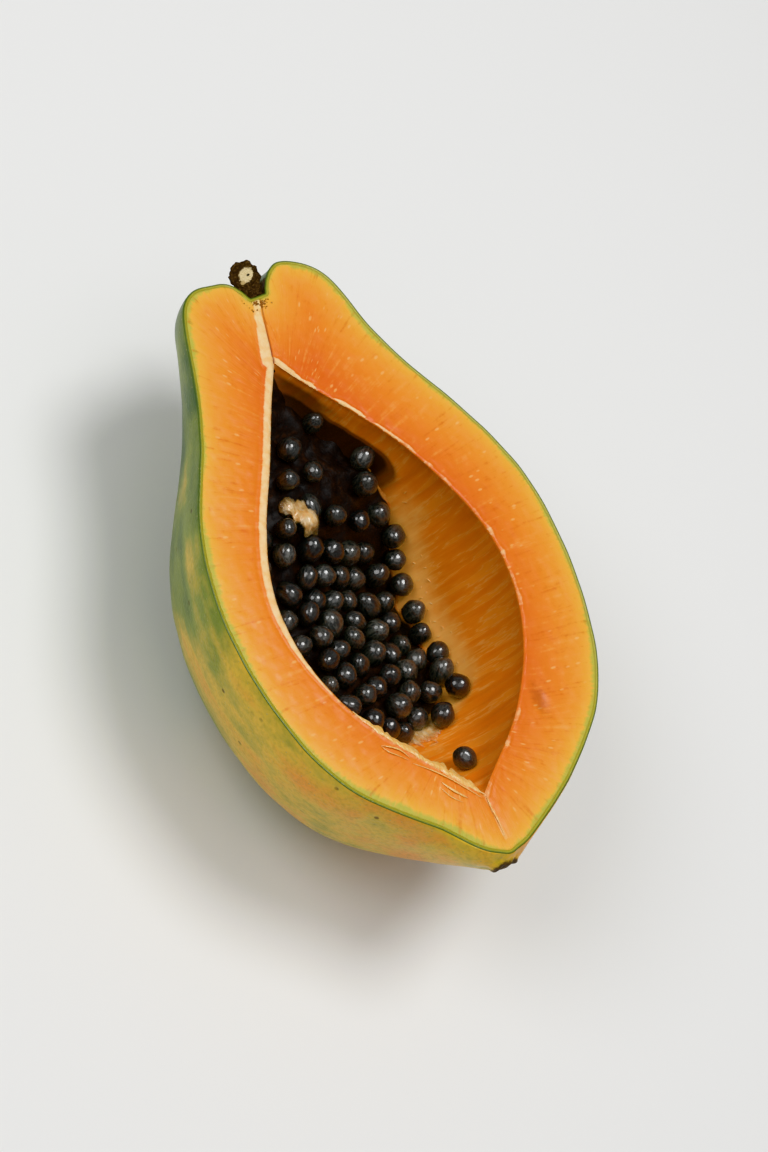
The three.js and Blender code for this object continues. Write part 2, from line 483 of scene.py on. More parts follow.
shell = {
    "stations": 360,               # along each side of the cut
    "endRows": (7, 13),            # over the pit and over the tip, where the knife didn't reach
    "columns": 160,                # round the skin
    "hiddenColumns": 32,           # where the flesh and the skin hide each other
    "thickness": 0.9,
    "wave": (0.16, 0.07),          # how uneven the knife left the cut, over 35 and 11 mm
    "undulation": (0.55, 0.16),    # of the skin, over 26 and 8 mm
    "pitCrumble": 0.55,
    "scarRadius": 2.6,             # the dry scar at the blossom end
    "scarDip": 0.7,
    "scarRing": (0.5, 0.9),        # height and width of the ring round it
    "scarFolds": (5, 0.22, 4.5, 2.5),      # how many, how high, how far out and how wide
    "scarGrain": 0.3,
    "settle": 0.3,                 # how softly the back flattens where it rests
    "proud": 0.22,                 # how far the flesh stands above the skin's cut edge
    "edgeRings": ((0.07, 0.06), (0.25, 0.0)),   # how far in on that edge, and how far down
}
flesh = {
    "rings": 36,                   # across the cut face
    "wallColumns": 132,            # across the chamber
    # how far along the chamber's rim each share of the skin's rim is joined, so that the
    # rings fan out round the shoulders and the tip
    "skinShares": (0, 0.055, 0.204, 0.552, 0.776, 1),
    "rimShares": (0, 0.02, 0.085, 0.523, 0.83, 1),
    "square": (2.6, 3.4),          # how far the rings leave the rim and the skin at right angles
    "squareFrom": (14, 12),        # how far from the chamber's ends they start to
    "evened": 13,                  # stations over which their direction at the skin is evened out
    "stripNear": 2.2,              # width of the pale lining at the near rim
    "stripFar": 0.9,
    "stripLeast": 1.0,
    "stripNarrows": (72, 100),     # to that, along the near rim
    "stripFades": (80, 104),
    "stripRise": (0.2, 0.17),      # of the strip, and depth of the groove beside it
    "grain": (0.13, 0.06),         # of the cut, over 2.6 and 1.1 mm
    "crease": (0.5, 0.35),         # depth and width, where the halves meet at the notch
    "creaseBand": (0.16, 1.0),     # height and width of the pale band along it
    "endCrease": (0.2, 1.2),       # depth and width, where they meet at the tip
    "bruise": (115.1, 22.4, 5.5, 2.4),     # x, y and half lengths of a soft dent in the cut
    "shadedDentDepth": 0.25,
    "rounding": (0.3, 0.35),       # of the chamber's rim: depth and width
    "ridgeHeight": 0.3,            # of the fine ridges that run down the chamber's wall
    "wallSwell": 0.5,              # of the wall, over 14 mm
}


def cutWave(points):
    flat = points * np.array([1, 1, 0])
    wide, fine = shell["wave"]
    return wide * 2 * bumps(flat, 35, 3.1) + fine * 2 * bumps(flat, 11, 7.7)


def settled(points):
    # the back flattens softly on what it rests on
    soft = shell["settle"]
    above = (points[..., 2] - restZ) / soft
    lifted = restZ + soft * np.log1p(np.exp(np.clip(above, -40, 40)))
    result = points.copy()
    result[..., 2] = np.where(above > 30, points[..., 2], lifted)
    return result


def skinRelief(points):
    wide, fine = shell["undulation"]
    relief = wide * bumps(points, 26, 1.3) + fine * bumps(points, 8, 5.1)
    inPit = 1 - ease(np.linalg.norm(points - pitMiddle, axis=-1), 5, 11)
    inPit = inPit * (0.25 + 0.75 * ease(-points[..., 2], 0, 2.5))
    relief += shell["pitCrumble"] * inPit * (bumps(points, 1.7, 2.2) + 0.6 * bumps(points, 0.9, 8.3))
    away = points - tipMiddle
    fromTip = np.linalg.norm(away, axis=-1)
    turn = np.arctan2(away[..., 1], away[..., 2])
    ringHeight, ringWidth = shell["scarRing"]
    foldCount, foldHeight, foldsAt, foldWidth = shell["scarFolds"]
    relief += ringHeight * bell(fromTip - shell["scarRadius"], ringWidth)
    relief -= shell["scarDip"] * (1 - ease(fromTip, 0, shell["scarRadius"]))
    relief += foldHeight * np.cos(foldCount * turn + 0.6) * bell(fromTip - foldsAt, foldWidth)
    return relief + shell["scarGrain"] * (1 - ease(fromTip, 3, 6)) * bumps(points, 1.1, 4.4)


def buildShell():
    # the outside and the inside of the skin, which way it faces, and the rows that the knife cut
    shares = np.linspace(0, 1, shell["stations"] + 1)
    stations, before, after = rimStations(skinOutline(), axisDepth, fruit["lobes"], shares)
    pitRows, tipRows = shell["endRows"]
    pitPart = resampled(np.vstack([before, stations[:1]]), pitRows)[:-1]
    tipPart = resampled(np.vstack([stations[-1:], after]), tipRows)[1:]
    line = np.vstack([pitPart, stations, tipPart])
    angle = rimAngle(line[:, 1], axisDepth(line[:, 0]), fruit["lobes"])
    firstCut, lastCut = len(pitPart), len(pitPart) + len(stations) - 1
    angle[:firstCut + 1] = math.pi
    angle[lastCut:] = math.pi
    spread = np.linspace(-1, 1, shell["columns"] + 1)
    base = skinPoint(line[:, :1], line[:, 1:], angle[:, None] * spread)
    normals = gridNormals(base)
    for rows in (slice(0, firstCut + 1), slice(lastCut, None)):
        normals[rows, 0] = normals[rows, -1] = unit(normals[rows, 0] + normals[rows, -1])
    if (normals[len(line) // 2, shell["columns"] // 2] @ (0, 0, -1)) < 0:
        normals = -normals
    normals[0], normals[-1] = (-1, 0, 0), (1, 0, 0)
    rim = np.zeros(base.shape[:2], bool)
    rim[firstCut:lastCut + 1, [0, -1]] = True
    facing = np.where(rim[..., None], unit(normals * np.array([1, 1, 0])), normals)
    outer = settled(base + facing * skinRelief(base)[..., None])
    inner = outer - facing * shell["thickness"]
    outer[..., 2] = np.where(rim, cutWave(outer) - shell["proud"], outer[..., 2])
    inner[..., 2] = np.where(rim, cutWave(inner), inner[..., 2])
    return {
        "outer": outer, "inner": inner, "facing": facing,
        "cutRows": slice(firstCut, lastCut + 1),
        "hidden": inner[:, ::shell["columns"] // shell["hiddenColumns"]],
    }


def rimLoop(grid, rows):
    # the closed line of a grid's two edge columns: out along one and back along the other
    return np.vstack([grid[rows, 0], grid[rows, -1][::-1]])


def skinFinish():
    finish = Finish("ripe papaya skin", {
        "Roughness": 0.38, "Specular IOR Level": 0.45, "Coat Weight": 0.12, "Coat Roughness": 0.3,
    })
    spot = finish.place()
    fromStalk, depthInside = finish.attribute("fromStalk"), finish.attribute("depthInside")
    # the large patches are moved off the origin, where stretched noise shows a straight edge
    moved = finish.add("ShaderNodeVectorMath", {"operation": "ADD"}, {0: spot, 1: (137, 281, 153)})
    stripes = finish.cloud(finish.stretch(moved, (0.012, 0.07, 0.07)), 1.0, 3.0, 0.6)
    blotches = finish.cloud(moved, 0.055, 4.0, 0.62)
    ripeness = fromStalk * 0.0046 + (blotches - 0.5) * 0.8 + (stripes - 0.5) * 1.3 + 0.13
    green, lime = linear(66, 98, 36), linear(132, 146, 46)
    yellow, amber = linear(222, 184, 62), linear(236, 160, 52)
    body = finish.ramp(ripeness, [(0.1, green), (0.42, lime), (0.68, yellow), (0.95, amber)])
    mottle = finish.cloud(spot, 0.9, 3.0, 0.6)
    body = finish.mix((mottle - 0.45) * 0.9, body, linear(96, 104, 30))
    poreMask = 1 - finish.cells(spot, 0.55).ease(0.06, 0.16)
    body = finish.mix(poreMask * 0.55, body, linear(168, 160, 88))
    freckleField = finish.cloud(spot, 0.13, 2.0, 0.5)
    freckles = finish.cells(finish.stretch(spot, (1, 1.15, 1.15)), 0.23)
    freckleMask = (1 - freckles.ease(0.1, 0.19)) * freckleField.ease(0.5, 0.68)
    body = finish.mix(freckleMask * 0.75, body, linear(84, 58, 26))
    corkGrain = finish.cloud(spot, 1.4, 4.0, 0.65)
    corkMask = (finish.attribute("cork") + (corkGrain - 0.5) * 0.7).ease(0.35, 0.75)
    corkColour = finish.ramp(corkGrain, [(0.3, linear(48, 34, 18)), (0.7, linear(112, 86, 48))])
    body = finish.mix(corkMask, body, corkColour)
    cutEdge = finish.mix(depthInside.ease(0.15, 0.8), linear(74, 98, 30), linear(178, 170, 62))
    body = finish.mix(depthInside.ease(0.02, 0.1), body, cutEdge)
    roughness = 0.36 + corkMask * 0.4 + freckleMask * 0.15 + (mottle - 0.5) * 0.12
    leather = finish.cells(spot, 1.3)
    height = leather * 0.25 + mottle * 0.5 - poreMask * 0.3 - freckleMask * 0.4 + corkMask * corkGrain
    return finish.close(body, roughness, height, 0.00035, 0.55)


def makeSkin(form):
    outer, inner, cut = form["outer"], form["hidden"], form["cutRows"]
    outerLoop, innerLoop = rimLoop(outer, cut), rimLoop(inner, cut)
    facingLoop = rimLoop(form["facing"], cut)
    loops = [outerLoop]
    for inset, drop in shell["edgeRings"]:
        ring = outerLoop - facingLoop * inset
        ring[:, 2] = cutWave(ring) - drop
        loops.append(ring)
    loops.append(innerLoop)
    strip = np.concatenate([np.stack(loops), np.stack(loops)[:, :1]], axis=1)
    points, faces = stitched((outer, inner, strip), (True, False, True))
    depth = np.concatenate([
        np.zeros(outer[..., 0].size), np.full(inner[..., 0].size, 1.0),
        np.repeat([0, 0.12, 0.3, 1.0], strip.shape[1]),
    ])
    fromPit = np.linalg.norm(points - pitMiddle, axis=-1)
    fromTip = np.linalg.norm(points - tipMiddle, axis=-1)
    cork = np.maximum(1 - ease(fromPit, 4.5, 10.5), 1 - ease(fromTip, 2.0, 5.0))
    attributes = {"depthInside": depth, "fromStalk": points[:, 0], "cork": cork}
    makePiece("papaya_skin", points, faces, skinFinish(), "skin", ["fruit_half"], attributes)


def fleshFinish():
    finish = Finish("ripe papaya flesh", {
        "Specular IOR Level": 0.28, "Subsurface Weight": 0.12, "Subsurface Scale": 0.003,
        "Subsurface Radius": (1.0, 0.65, 0.3), "Coat Weight": 0.1, "Coat Roughness": 0.2,
    })
    spot = finish.place()
    grain = finish.attribute("grain", "Vector")
    skinGap = finish.attribute("skinGap")
    onWall = finish.attribute("wallDrop").ease(0.05, 0.6)
    wide, fine = finish.cloud(spot, 0.045, 3.0, 0.55), finish.cloud(spot, 0.55, 4.0, 0.6)
    fibres = finish.cloud(finish.stretch(grain, (0.75, 0.06, 1)), 1.0, 3.0, 0.55)

    # the cut face, from the skin inwards
    deep, body = linear(224, 110, 40), linear(234, 138, 52)
    gold, pale = linear(238, 178, 74), linear(238, 160, 66)
    towardsSkin = skinGap + (wide - 0.5) * 5 + (fibres - 0.5) * 2.2
    cutColour = finish.ramp(towardsSkin / 20, [
        (0.015, linear(190, 182, 80)), (0.06, gold), (0.2, pale), (0.5, body), (0.95, deep)])
    streaks = (fibres - 0.5) * 0.9 + (fine - 0.5) * 0.5
    cutColour = finish.mix(streaks.ease(0.02, 0.32) * 0.55, cutColour, linear(244, 176, 92))
    cutColour = finish.mix((-streaks).ease(0.03, 0.32) * 0.6, cutColour, linear(208, 92, 22))
    bundles = finish.cells(finish.stretch(grain, (0.42, 0.22, 1)))
    bundleMask = (1 - bundles.ease(0.07, 0.2)) * skinGap.ease(1.5, 4)
    cutColour = finish.mix(bundleMask * 0.5, cutColour, linear(250, 200, 124))
    # darker and browner over the soft dent: painted shade of the dent
    bruise = 1 - (finish.attribute("bruise") + (fine - 0.5) * 1.1 + (fibres - 0.5)).ease(0.1, 1.1)
    cutColour = finish.mix(bruise * 0.5, cutColour, linear(168, 78, 34))
    cream = finish.mix(fine.ease(0.3, 0.7), linear(240, 202, 136), linear(250, 226, 176))
    liningEdge = finish.attribute("lining") + (fine - 0.5) * 0.5 + (fibres - 0.5) * 0.5
    liningMask = liningEdge.ease(0.3, 0.75)
    cutColour = finish.mix(liningMask * 0.85, cutColour, cream)
    # the creases darkened along their lines: painted shade
    furrow = 1 - (finish.attribute("furrow") + (fine - 0.5) * 0.12).ease(0.1, 0.42)
    cutColour = finish.mix(furrow * 0.8, cutColour, linear(150, 66, 26))

    # the chamber's wall: pale beside the seeds, partly paler tissue and partly painted light, and darkened
    # in its narrow end as painted shade, partly a stain of the pulp
    ridges = finish.cloud(finish.stretch(grain, (0.55, 0.05, 1)), 1.0, 3.0, 0.6)
    patches = finish.cloud(spot, 0.16, 4.0, 0.6)
    seedEdge = finish.attribute("paleWall") + (patches - 0.5) * 0.8 + (ridges - 0.5) * 0.3
    seedSide = seedEdge.ease(0.2, 0.95)
    wallColour = finish.mix(ridges.ease(0.35, 0.7), linear(230, 126, 42), linear(240, 150, 62))
    veins = 1 - (ridges - 0.56).size().ease(0.0, 0.03)
    wallColour = finish.mix(veins * 0.4, wallColour, linear(250, 204, 134))
    # lighter beside the seeds: partly paler tissue where they held, partly painted light
    wallColour = finish.mix(seedSide * 0.75, wallColour, linear(255, 196, 118))
    # darker in the narrow end and above the heap there, near-black at most: painted shade, partly a pulp
    # stain
    wedge = finish.attribute("wedge") + (patches - 0.5) * 0.5
    wallColour = finish.mix(wedge.ease(0.25, 0.8) * 0.85, wallColour, linear(86, 40, 18))
    wallColour = finish.mix(wedge.ease(1.0, 1.5) * 0.9, wallColour, linear(32, 19, 12))

    roughness = 0.4 + (fine - 0.5) * 0.2 + liningMask * 0.08
    pulp = finish.cloud(spot, 1.7, 3.0, 0.6)
    height = fibres * 0.5 * (1 - onWall) + ridges * 0.6 * onWall + fine * 0.2 + pulp * 0.15
    height = height - bundleMask * 0.2
    return finish.close(finish.mix(onWall, cutColour, wallColour), roughness, height, 0.0003, 0.45)


def faceHalf(rim, edge, edgeOut, side):
    # rings from the chamber's rim to the skin, square to both; side is -1 near and 1 far
    heading = unit(np.gradient(rim[:, :2], axis=0))
    away = np.column_stack([-heading[:, 1], heading[:, 0], 0 * heading[:, 0]]) * side
    way = travelled(rim)
    fromStart, fromEnd = flesh["squareFrom"]
    ends = ease(way, 0, fromStart) * ease(way[-1] - way, 0, fromEnd)
    evened = flesh["evened"]
    half = evened // 2
    padded = np.pad(edgeOut, ((half, half), (0, 0)), mode="edge")
    even = np.stack([np.convolve(padded[:, k], np.ones(evened) / evened, "valid") for k in range(3)], -1)
    row = np.arange(len(rim))[:, None]
    edgeOut = blend(edgeOut, even, ease(row, 0, 4) * ease(len(rim) - 1 - row, 0, 4))
    t = np.linspace(0, 1, flesh["rings"] + 1)[None, :, None]
    a, d = rim[:, None], edge[:, None]
    b = a + (away * ends[:, None])[:, None] * flesh["square"][0]
    c = d - edgeOut[:, None] * flesh["square"][1]
    return cubic(a, b, c, d, t)


def cutFace(form, rims):
    # the cut face in two halves, which meet in creases at the notch and at the tip
    cut = form["cutRows"]
    edges, outward = form["inner"][cut], form["facing"][cut]
    face = np.stack([
        faceHalf(rims[0], edges[:, 0] * (1, 1, 0), outward[:, 0], -1),
        faceHalf(rims[1], edges[:, -1] * (1, 1, 0), outward[:, -1], 1),
    ])
    x, y = face[..., 0], face[..., 1]
    notch, tipEdge, first, last = edges[0, 0], edges[-1, 0], rims[0][0], rims[0][-1]
    beside = unit(np.array([notch[1] - first[1], first[0] - notch[0], 0]))
    band = toSegment(face, notch - beside * 1.2, first - beside * 1.6) - 0.5 * ease(x, 6, 15)
    furrow = toSegment(face, notch + beside * 0.25, first + beside * 0.05)
    endCrease = toSegment(face, tipEdge - (3, 0, 0), last)
    skinGap, rimGap = nearest(face, rimLoop(form["inner"], cut)), nearest(face, np.vstack(rims))

    # the pale strip along the chamber's rim, ragged and thin on the far side
    far = ease(y - chamberDrift(x), -4, 4)
    ragged = bumps(face * (1, 1, 0), 4.0, 12.3)
    nearWidth = blend(flesh["stripNear"], flesh["stripLeast"], ease(x, *flesh["stripNarrows"]))
    width = blend(nearWidth, flesh["stripFar"] * (1 + 1.2 * ragged), far)
    share = rimGap / np.maximum(width, 0.3)
    nearStrength = 1 - 0.55 * ease(x, *flesh["stripFades"])
    strength = blend(nearStrength, 0.75 - 0.45 * ease(x, 34, 60) + 0.5 * ragged, far)
    stripMask = strength * (1 - ease(share, 0.7, 1.15))
    bandMask = 0.95 * (1 - ease(band, 0.75, 1.4))
    endMask = 0.55 * (1 - ease(endCrease, 0.2, 1.1))

    def hump(distance, heightAndWidth):
        height, width = heightAndWidth
        return height * bell(distance, width)

    rise, groove = flesh["stripRise"]
    relief = strength * (rise * bell(share - 0.5, 0.42) - groove * bell(share - 1.25, 0.3))
    wide, fine = flesh["grain"]
    relief += wide * bumps(face, 2.6, 6.1) + fine * bumps(face, 1.1, 9.1)
    relief += hump(band, flesh["creaseBand"]) - 0.1 * bell(band - 1.75, 0.5)
    relief -= hump(furrow, flesh["crease"]) + hump(endCrease, flesh["endCrease"])
    dentX, dentY, dentLong, dentWide = flesh["bruise"]
    bruise = np.hypot((x - dentX) / dentLong, (y - dentY) / dentWide)
    relief -= flesh["shadedDentDepth"] * (1 - ease(bruise, 0.2, 1.2))
    face[..., 2] = cutWave(face) + relief * ease(skinGap, 0.2, 3.0) - hump(rimGap, flesh["rounding"])
    return face, {
        "skinGap": skinGap, "rimGap": rimGap, "far": far, "bruise": bruise,
        "lining": np.maximum(np.maximum(stripMask, bandMask), endMask),
        "furrow": np.minimum(furrow, endCrease + 0.3),
    }


def ribbedWall(bare, normals, drop, face, spread):
    # the chamber's wall, with ridges that run down from its rim
    line = np.stack([bare[..., 0], drop * 0.13, bare[..., 1] * 0.05], -1)
    ridges = bumps(line, 2.6, 3.3) + 0.6 * bumps(line, 1.4, 6.6)
    push = flesh["ridgeHeight"] * ridges + flesh["wallSwell"] * bumps(bare, 14, 2.9)
    wall = bare + normals * (push * ease(drop, 0.3, 3.0))[..., None]
    rimRise = np.where(spread < 0, face[0, :, 0, 2][:, None], face[1, :, 0, 2][:, None])
    wall[..., 2] += rimRise * bell(drop, 0.8)
    wall[:, 0], wall[:, -1] = face[0, :, 0], face[1, :, 0]
    wall[0], wall[-1] = face[0, 0, 0], face[0, -1, 0]
    return wall


def wallShadeAndStain(bare, drop, above, spread):
    # darkened in the narrow end and just above the heap there: painted shade of the deep narrow end,
    # partly a stain of the pulp round the heap
    x = bare[..., 0]
    wedge = (1 - ease(x, 24, 42)) * ease(drop, 0.5, 5)
    overHeap = (1 - ease(above, -1, 5)) * (1 - ease(x, 42, 60)) * (spread > 0)
    roundHeap = (1 - ease(offMiddle(x, bare[..., 1]), 0.5, 0.95)) * (1 - ease(x, 32, 46))
    shadeAndStain = np.maximum(overHeap, roundHeap)
    return np.maximum(wedge, 0.9 * shadeAndStain) + ease(shadeAndStain, 0.4, 1.0)


def makeFlesh(form):
    skinShares = np.linspace(0, 1, shell["stations"] + 1)
    stations, angle = chamberStations(np.interp(skinShares, flesh["skinShares"], flesh["rimShares"]))
    spread = np.linspace(-1, 1, flesh["wallColumns"] + 1)
    bare = chamberPoint(stations[:, :1], stations[:, 1:], angle[:, None] * spread)
    for row in (0, -1):
        bare[row] = (stations[row, 0], chamberDrift(stations[row, 0]), 0)
    drop = stations[:, 1:] * (angle[:, None] - np.abs(angle[:, None] * spread))
    face, marks = cutFace(form, (bare[:, 0] * (1, 1, 0), bare[:, -1] * (1, 1, 0)))
    wall = ribbedWall(bare, gridNormals(bare), drop, face, spread)

    under = form["hidden"]
    points, faces = stitched((under, face[0], face[1], wall), (True, True, False, False))
    shapes = [grid.shape[:-1] for grid in (under, face, wall)]

    def threeParts(*values):
        # an attribute from its values under the skin, on the cut face and on the wall
        return np.concatenate([np.broadcast_to(v, s).ravel() for v, s in zip(values, shapes)]) * 1.0

    above = bare[..., 2] - heapTop(bare[..., 0], bare[..., 1])
    # pale beside the seeds, partly painted light
    paleWall = (1 - ease(above, -2, 12)) * ease(bare[..., 0], 44, 62)
    faceRow = 200 * skinShares[:, None]
    attributes = {
        "skinGap": threeParts(0, marks["skinGap"], 14),
        "lining": threeParts(0, marks["lining"], 0),
        "furrow": threeParts(9, marks["furrow"], 9),
        "bruise": threeParts(9, marks["bruise"], 9),
        "wallDrop": threeParts(0, 0, drop),
        "paleWall": threeParts(0, 0, paleWall),
        "wedge": threeParts(0, 0, wallShadeAndStain(bare, drop, above, spread)),
        # along the rim, away from it, and which surface it is
        "grain": np.column_stack([
            threeParts(0, faceRow, bare[..., 0]), threeParts(0, marks["rimGap"], drop),
            threeParts(0, marks["far"] * 40, 90)]),
    }
    makePiece("papaya_flesh", points, faces, fleshFinish(), "flesh", ["fruit_half"], attributes)


# The seeds.

heap = {
    "near": (-6.0, -13.0),         # height of the top at the near wall: in the neck and the belly
    "far": (-9.5, -28.5, -23.0),   # at the far wall: in the neck, the belly and the front
    "fall": (44.0, 76.0),
    "risesFrom": 82.0,             # to the front, at the far wall
    "across": (-24, 24),
    "front": (103.0, 9.0, 20.0),   # where it starts to round off, over what length, by how much
}
bed = {
    "drop": (0.8, 4.6),            # below the seeds' tops: at the stalk end and further along
    "bumpHeight": 0.9,
    "skin": 1.0,                   # thickness of the pulp in the narrow end
    "buried": 0.7,                 # how far its edges run inside the wall
    "thickness": 0.35,
    "rows": 110,
    "columns": 60,
    "upWall": 1.8,                 # how far up the wall from its own level it may start
    "tries": 200,                  # places round the wall that are tried for that
    "turns": (-1.75, 1.6),         # how far round the chamber it may go, in radians
    "narrow": ((19, 30, 40), (0.9, 1.3, 1.75)),    # and how far it may at three places along it
}
seeds = {
    "count": 116,
    "radius": (2.7, 3.4),
    "shapes": 12,
    "stretch": (1.0, 1.18),        # of a seed's length, its width shrinking to match
    "wrinkle": 0.1,
    "start": 29.0,                 # no seeds nearer the stalk than this
    "spread": 1.1,                 # least distance, as a share of two seeds' radii
    "rounds": 300,
    "rise": 0.35,                  # up in each round, less and less
    "mostPush": 1.2,               # in one round
    "leastRoom": 1.2,              # depth of the heap under which they are moved inwards
    "uneven": 1.9,                 # how far their tops differ from the heap's, up or down
    # where the heap is thin, these stand clear and the rest lie deeper
    "clear": (
        (32.3, 4.0), (37.0, -5.0), (43.2, 14.3), (44.1, -1.8), (44.4, -9.5), (49.3, 12.7),
        (54.7, 1.3), (56.6, 9.2), (60.7, -8.4), (61.6, -1.4), (60.6, -16.7),
        # and these lie up against the bare wall
        (72.2, 20.1), (79.3, 20.3), (84.9, 19.6), (91.4, 19.7), (96.2, 17.6), (101.6, 17.0), (106.7, 10.8),
    ),
    "sunk": (4.8, 48.0, 58.0),     # how deep, and where that ends
    "deepest": 6,                  # below the heap's top; those that lie deeper are left out
    "leastProud": 1.8,             # of the pulp; those that show less are left out
    "randomSeed": 11,
}
loneSeed = {
    "width": 5.5, "stretch": 1.1, "cuts": 9, "turn": 35, "shade": 0.35, "randomSeed": 5,
    "offWall": 2.75,               # from the wall to its middle
}


def heapTop(x, y):
    fall = ease(x, *heap["fall"])
    near = blend(*heap["near"], fall)
    neck, belly, frontHeight = heap["far"]
    start, length, drop = heap["front"]
    far = blend(blend(neck, belly, fall), frontHeight, ease(x, heap["risesFrom"], start))
    forward = np.maximum(x - start, 0) / length
    return blend(near, far, ease(y, *heap["across"])) - drop * forward ** 2


chamberLine = chamberOutline()


def chamberRadius(x):
    return np.interp(x, chamberLine[:, 0], chamberLine[:, 1], left=0, right=0)


def wallFloor(x, y):
    # height of the chamber's wall under a point
    radius, across = chamberRadius(x), y - chamberDrift(x)
    angle = np.zeros(np.shape(x))
    for _ in range(12):
        reach = np.maximum(lobed(radius, angle, chamber["lobes"]), 1e-6)
        angle = np.arcsin(np.clip(across / reach, -1, 1))
    return -chamberDepth(x) - reach * np.cos(angle)


def wallGap(points):
    # distance in from the chamber's wall, and the direction away from it
    x = points[:, 0]
    across, down = points[:, 1] - chamberDrift(x), -(points[:, 2] + chamberDepth(x))
    angle = np.arctan2(across, down)
    radius = lobed(chamberRadius(x), angle, chamber["lobes"])
    slope = (chamberRadius(x + 0.5) - chamberRadius(x - 0.5))
    lean = np.hypot(1, slope)
    outward = np.stack([-slope, np.sin(angle), -np.cos(angle)], -1) / lean[:, None]
    return (radius - np.hypot(across, down)) / lean, -outward


def offMiddle(x, y):
    return np.abs(y - chamberDrift(x) + 1.5) / np.maximum(chamberRadius(x), 0.1)


def bedTop(x, y):
    lumps = bumps(np.stack([x, y, 0 * x], -1), 4.2, 1.7)
    pulp = heapTop(x, y) - blend(*bed["drop"], ease(x, 22, 40)) + bed["bumpHeight"] * 2 * lumps
    # a skin of it runs on up the narrow end, a dark sheet of painted shade
    skin = bed["skin"] * (1 - ease(x, 30, 42)) * (1 - ease(offMiddle(x, y) + lumps * 0.4, 0.25, 0.8))
    return np.maximum(pulp, wallFloor(x, y) + skin - 0.3)


def packedSeeds():
    # Seeds are dropped in at random, pushed apart round by round, and held down under the heap's top.
    rng = np.random.default_rng(seeds["randomSeed"])
    clear = len(seeds["clear"])
    count = seeds["count"] + clear
    radius = rng.uniform(*seeds["radius"], count)
    lift = rng.uniform(-seeds["uneven"], seeds["uneven"], count)
    lift[:clear] = np.abs(lift[:clear]) * 0.6
    held = np.arange(count) < clear
    end = heap["front"][0] + heap["front"][1] + 2
    depth, sunkFrom, sunkTo = seeds["sunk"]

    def ceiling(p):
        sunk = np.where(held[:len(p)], 0, depth * (1 - ease(p[:, 0], sunkFrom, sunkTo)))
        top = heapTop(p[:, 0], p[:, 1]) - radius[:len(p)] + lift[:len(p)] - sunk
        return np.maximum(top, wallFloor(p[:, 0], p[:, 1]) + radius[:len(p)])

    def room(p):
        return heapTop(p[:, 0], p[:, 1]) - wallFloor(p[:, 0], p[:, 1])

    points = np.array([(x, y, 0.0) for x, y in seeds["clear"]])
    while len(points) < count:
        tried = rng.uniform((seeds["start"], -32, 0), (end, 30, 1), (4 * count, 3))
        tried = tried[(room(tried) > 2) & (np.abs(tried[:, 1]) < chamberRadius(tried[:, 0]) - 2)]
        points = np.vstack([points, tried])[:count]
    points[:, 2] = ceiling(points) - rng.uniform(0, 7, count) * ~held
    home = points[:clear].copy()
    for _ in range(60):
        tooLow = (wallGap(home)[0] < radius[:clear] * 0.97) & (home[:, 0] > sunkTo)
        home[:, 2] += 0.1 * tooLow
    for turn in range(seeds["rounds"]):
        calm = 1 - turn / seeds["rounds"]
        points[:, 2] += seeds["rise"] * calm
        gaps = points[:, None] - points[None]
        distance = np.sqrt((gaps ** 2).sum(-1)) + np.eye(count) * 1e3
        wanted = seeds["spread"] * (radius[:, None] + radius[None])
        overlap = np.maximum(wanted - distance, 0) * np.where(held[None], 2, 1)
        push = (gaps / distance[..., None] * overlap[..., None] * 0.5).sum(1)
        points += np.clip(push, -seeds["mostPush"], seeds["mostPush"])
        for axis in (0, 1):
            # thin places at the heap's edge: back towards where it is thicker
            shifted = points.copy()
            shifted[:, axis] += 0.5
            slope = np.sign(room(shifted) - room(points))
            short = np.maximum(seeds["leastRoom"] - room(points), 0)
            points[:, axis] += np.clip(short * slope * 0.3, -0.6, 0.6)
        points[:, 0] = np.clip(points[:, 0], seeds["start"], end)
        gap, away = wallGap(points)
        points += away * np.maximum(radius * 1.02 - gap, 0)[:, None]
        points[:, 2] = np.minimum(points[:, 2], ceiling(points))
        points[:clear] = home
    under = ceiling(points) - points[:, 2]
    proud = points[:, 2] + radius - bedTop(points[:, 0], points[:, 1])
    kept = held | (under < seeds["deepest"]) & (proud > seeds["leastProud"])
    print(f"seeds: {kept.sum()} kept of {count}")
    return points[kept], radius[kept]


def seedShape(name, rng, cuts, stretch, wrinkle):
    # a rounded cube with an egg-like body, about 1 across
    shape = bmesh.new()
    bmesh.ops.create_cube(shape, size=2)
    bmesh.ops.subdivide_edges(shape, edges=shape.edges, cuts=cuts, use_grid_fill=True)
    flat = rng.uniform(0.93, 1.0)
    offset = Vector((rng.uniform(0, 50), 0, 0))
    own = []
    for vertex in shape.verts:
        p = Vector([math.tan(c * math.pi / 4) for c in vertex.co]).normalized()
        own.append(p + offset)
        taper = (1 - 0.1 * p.x) * stretch ** -0.5      # a longer one is slimmer
        dent = 0.5 + 0.5 * wrinkle * noise.noise(p * 1.5 + offset)
        vertex.co = Vector((p.x * stretch, p.y * taper, p.z * taper * flat)) * dent
    mesh = bpy.data.meshes.new(name)
    shape.to_mesh(mesh)
    shape.free()
    mesh.attributes.new("own", "FLOAT_VECTOR", "POINT").data.foreach_set("vector", np.ravel(own))
    mesh.shade_smooth()
    return mesh


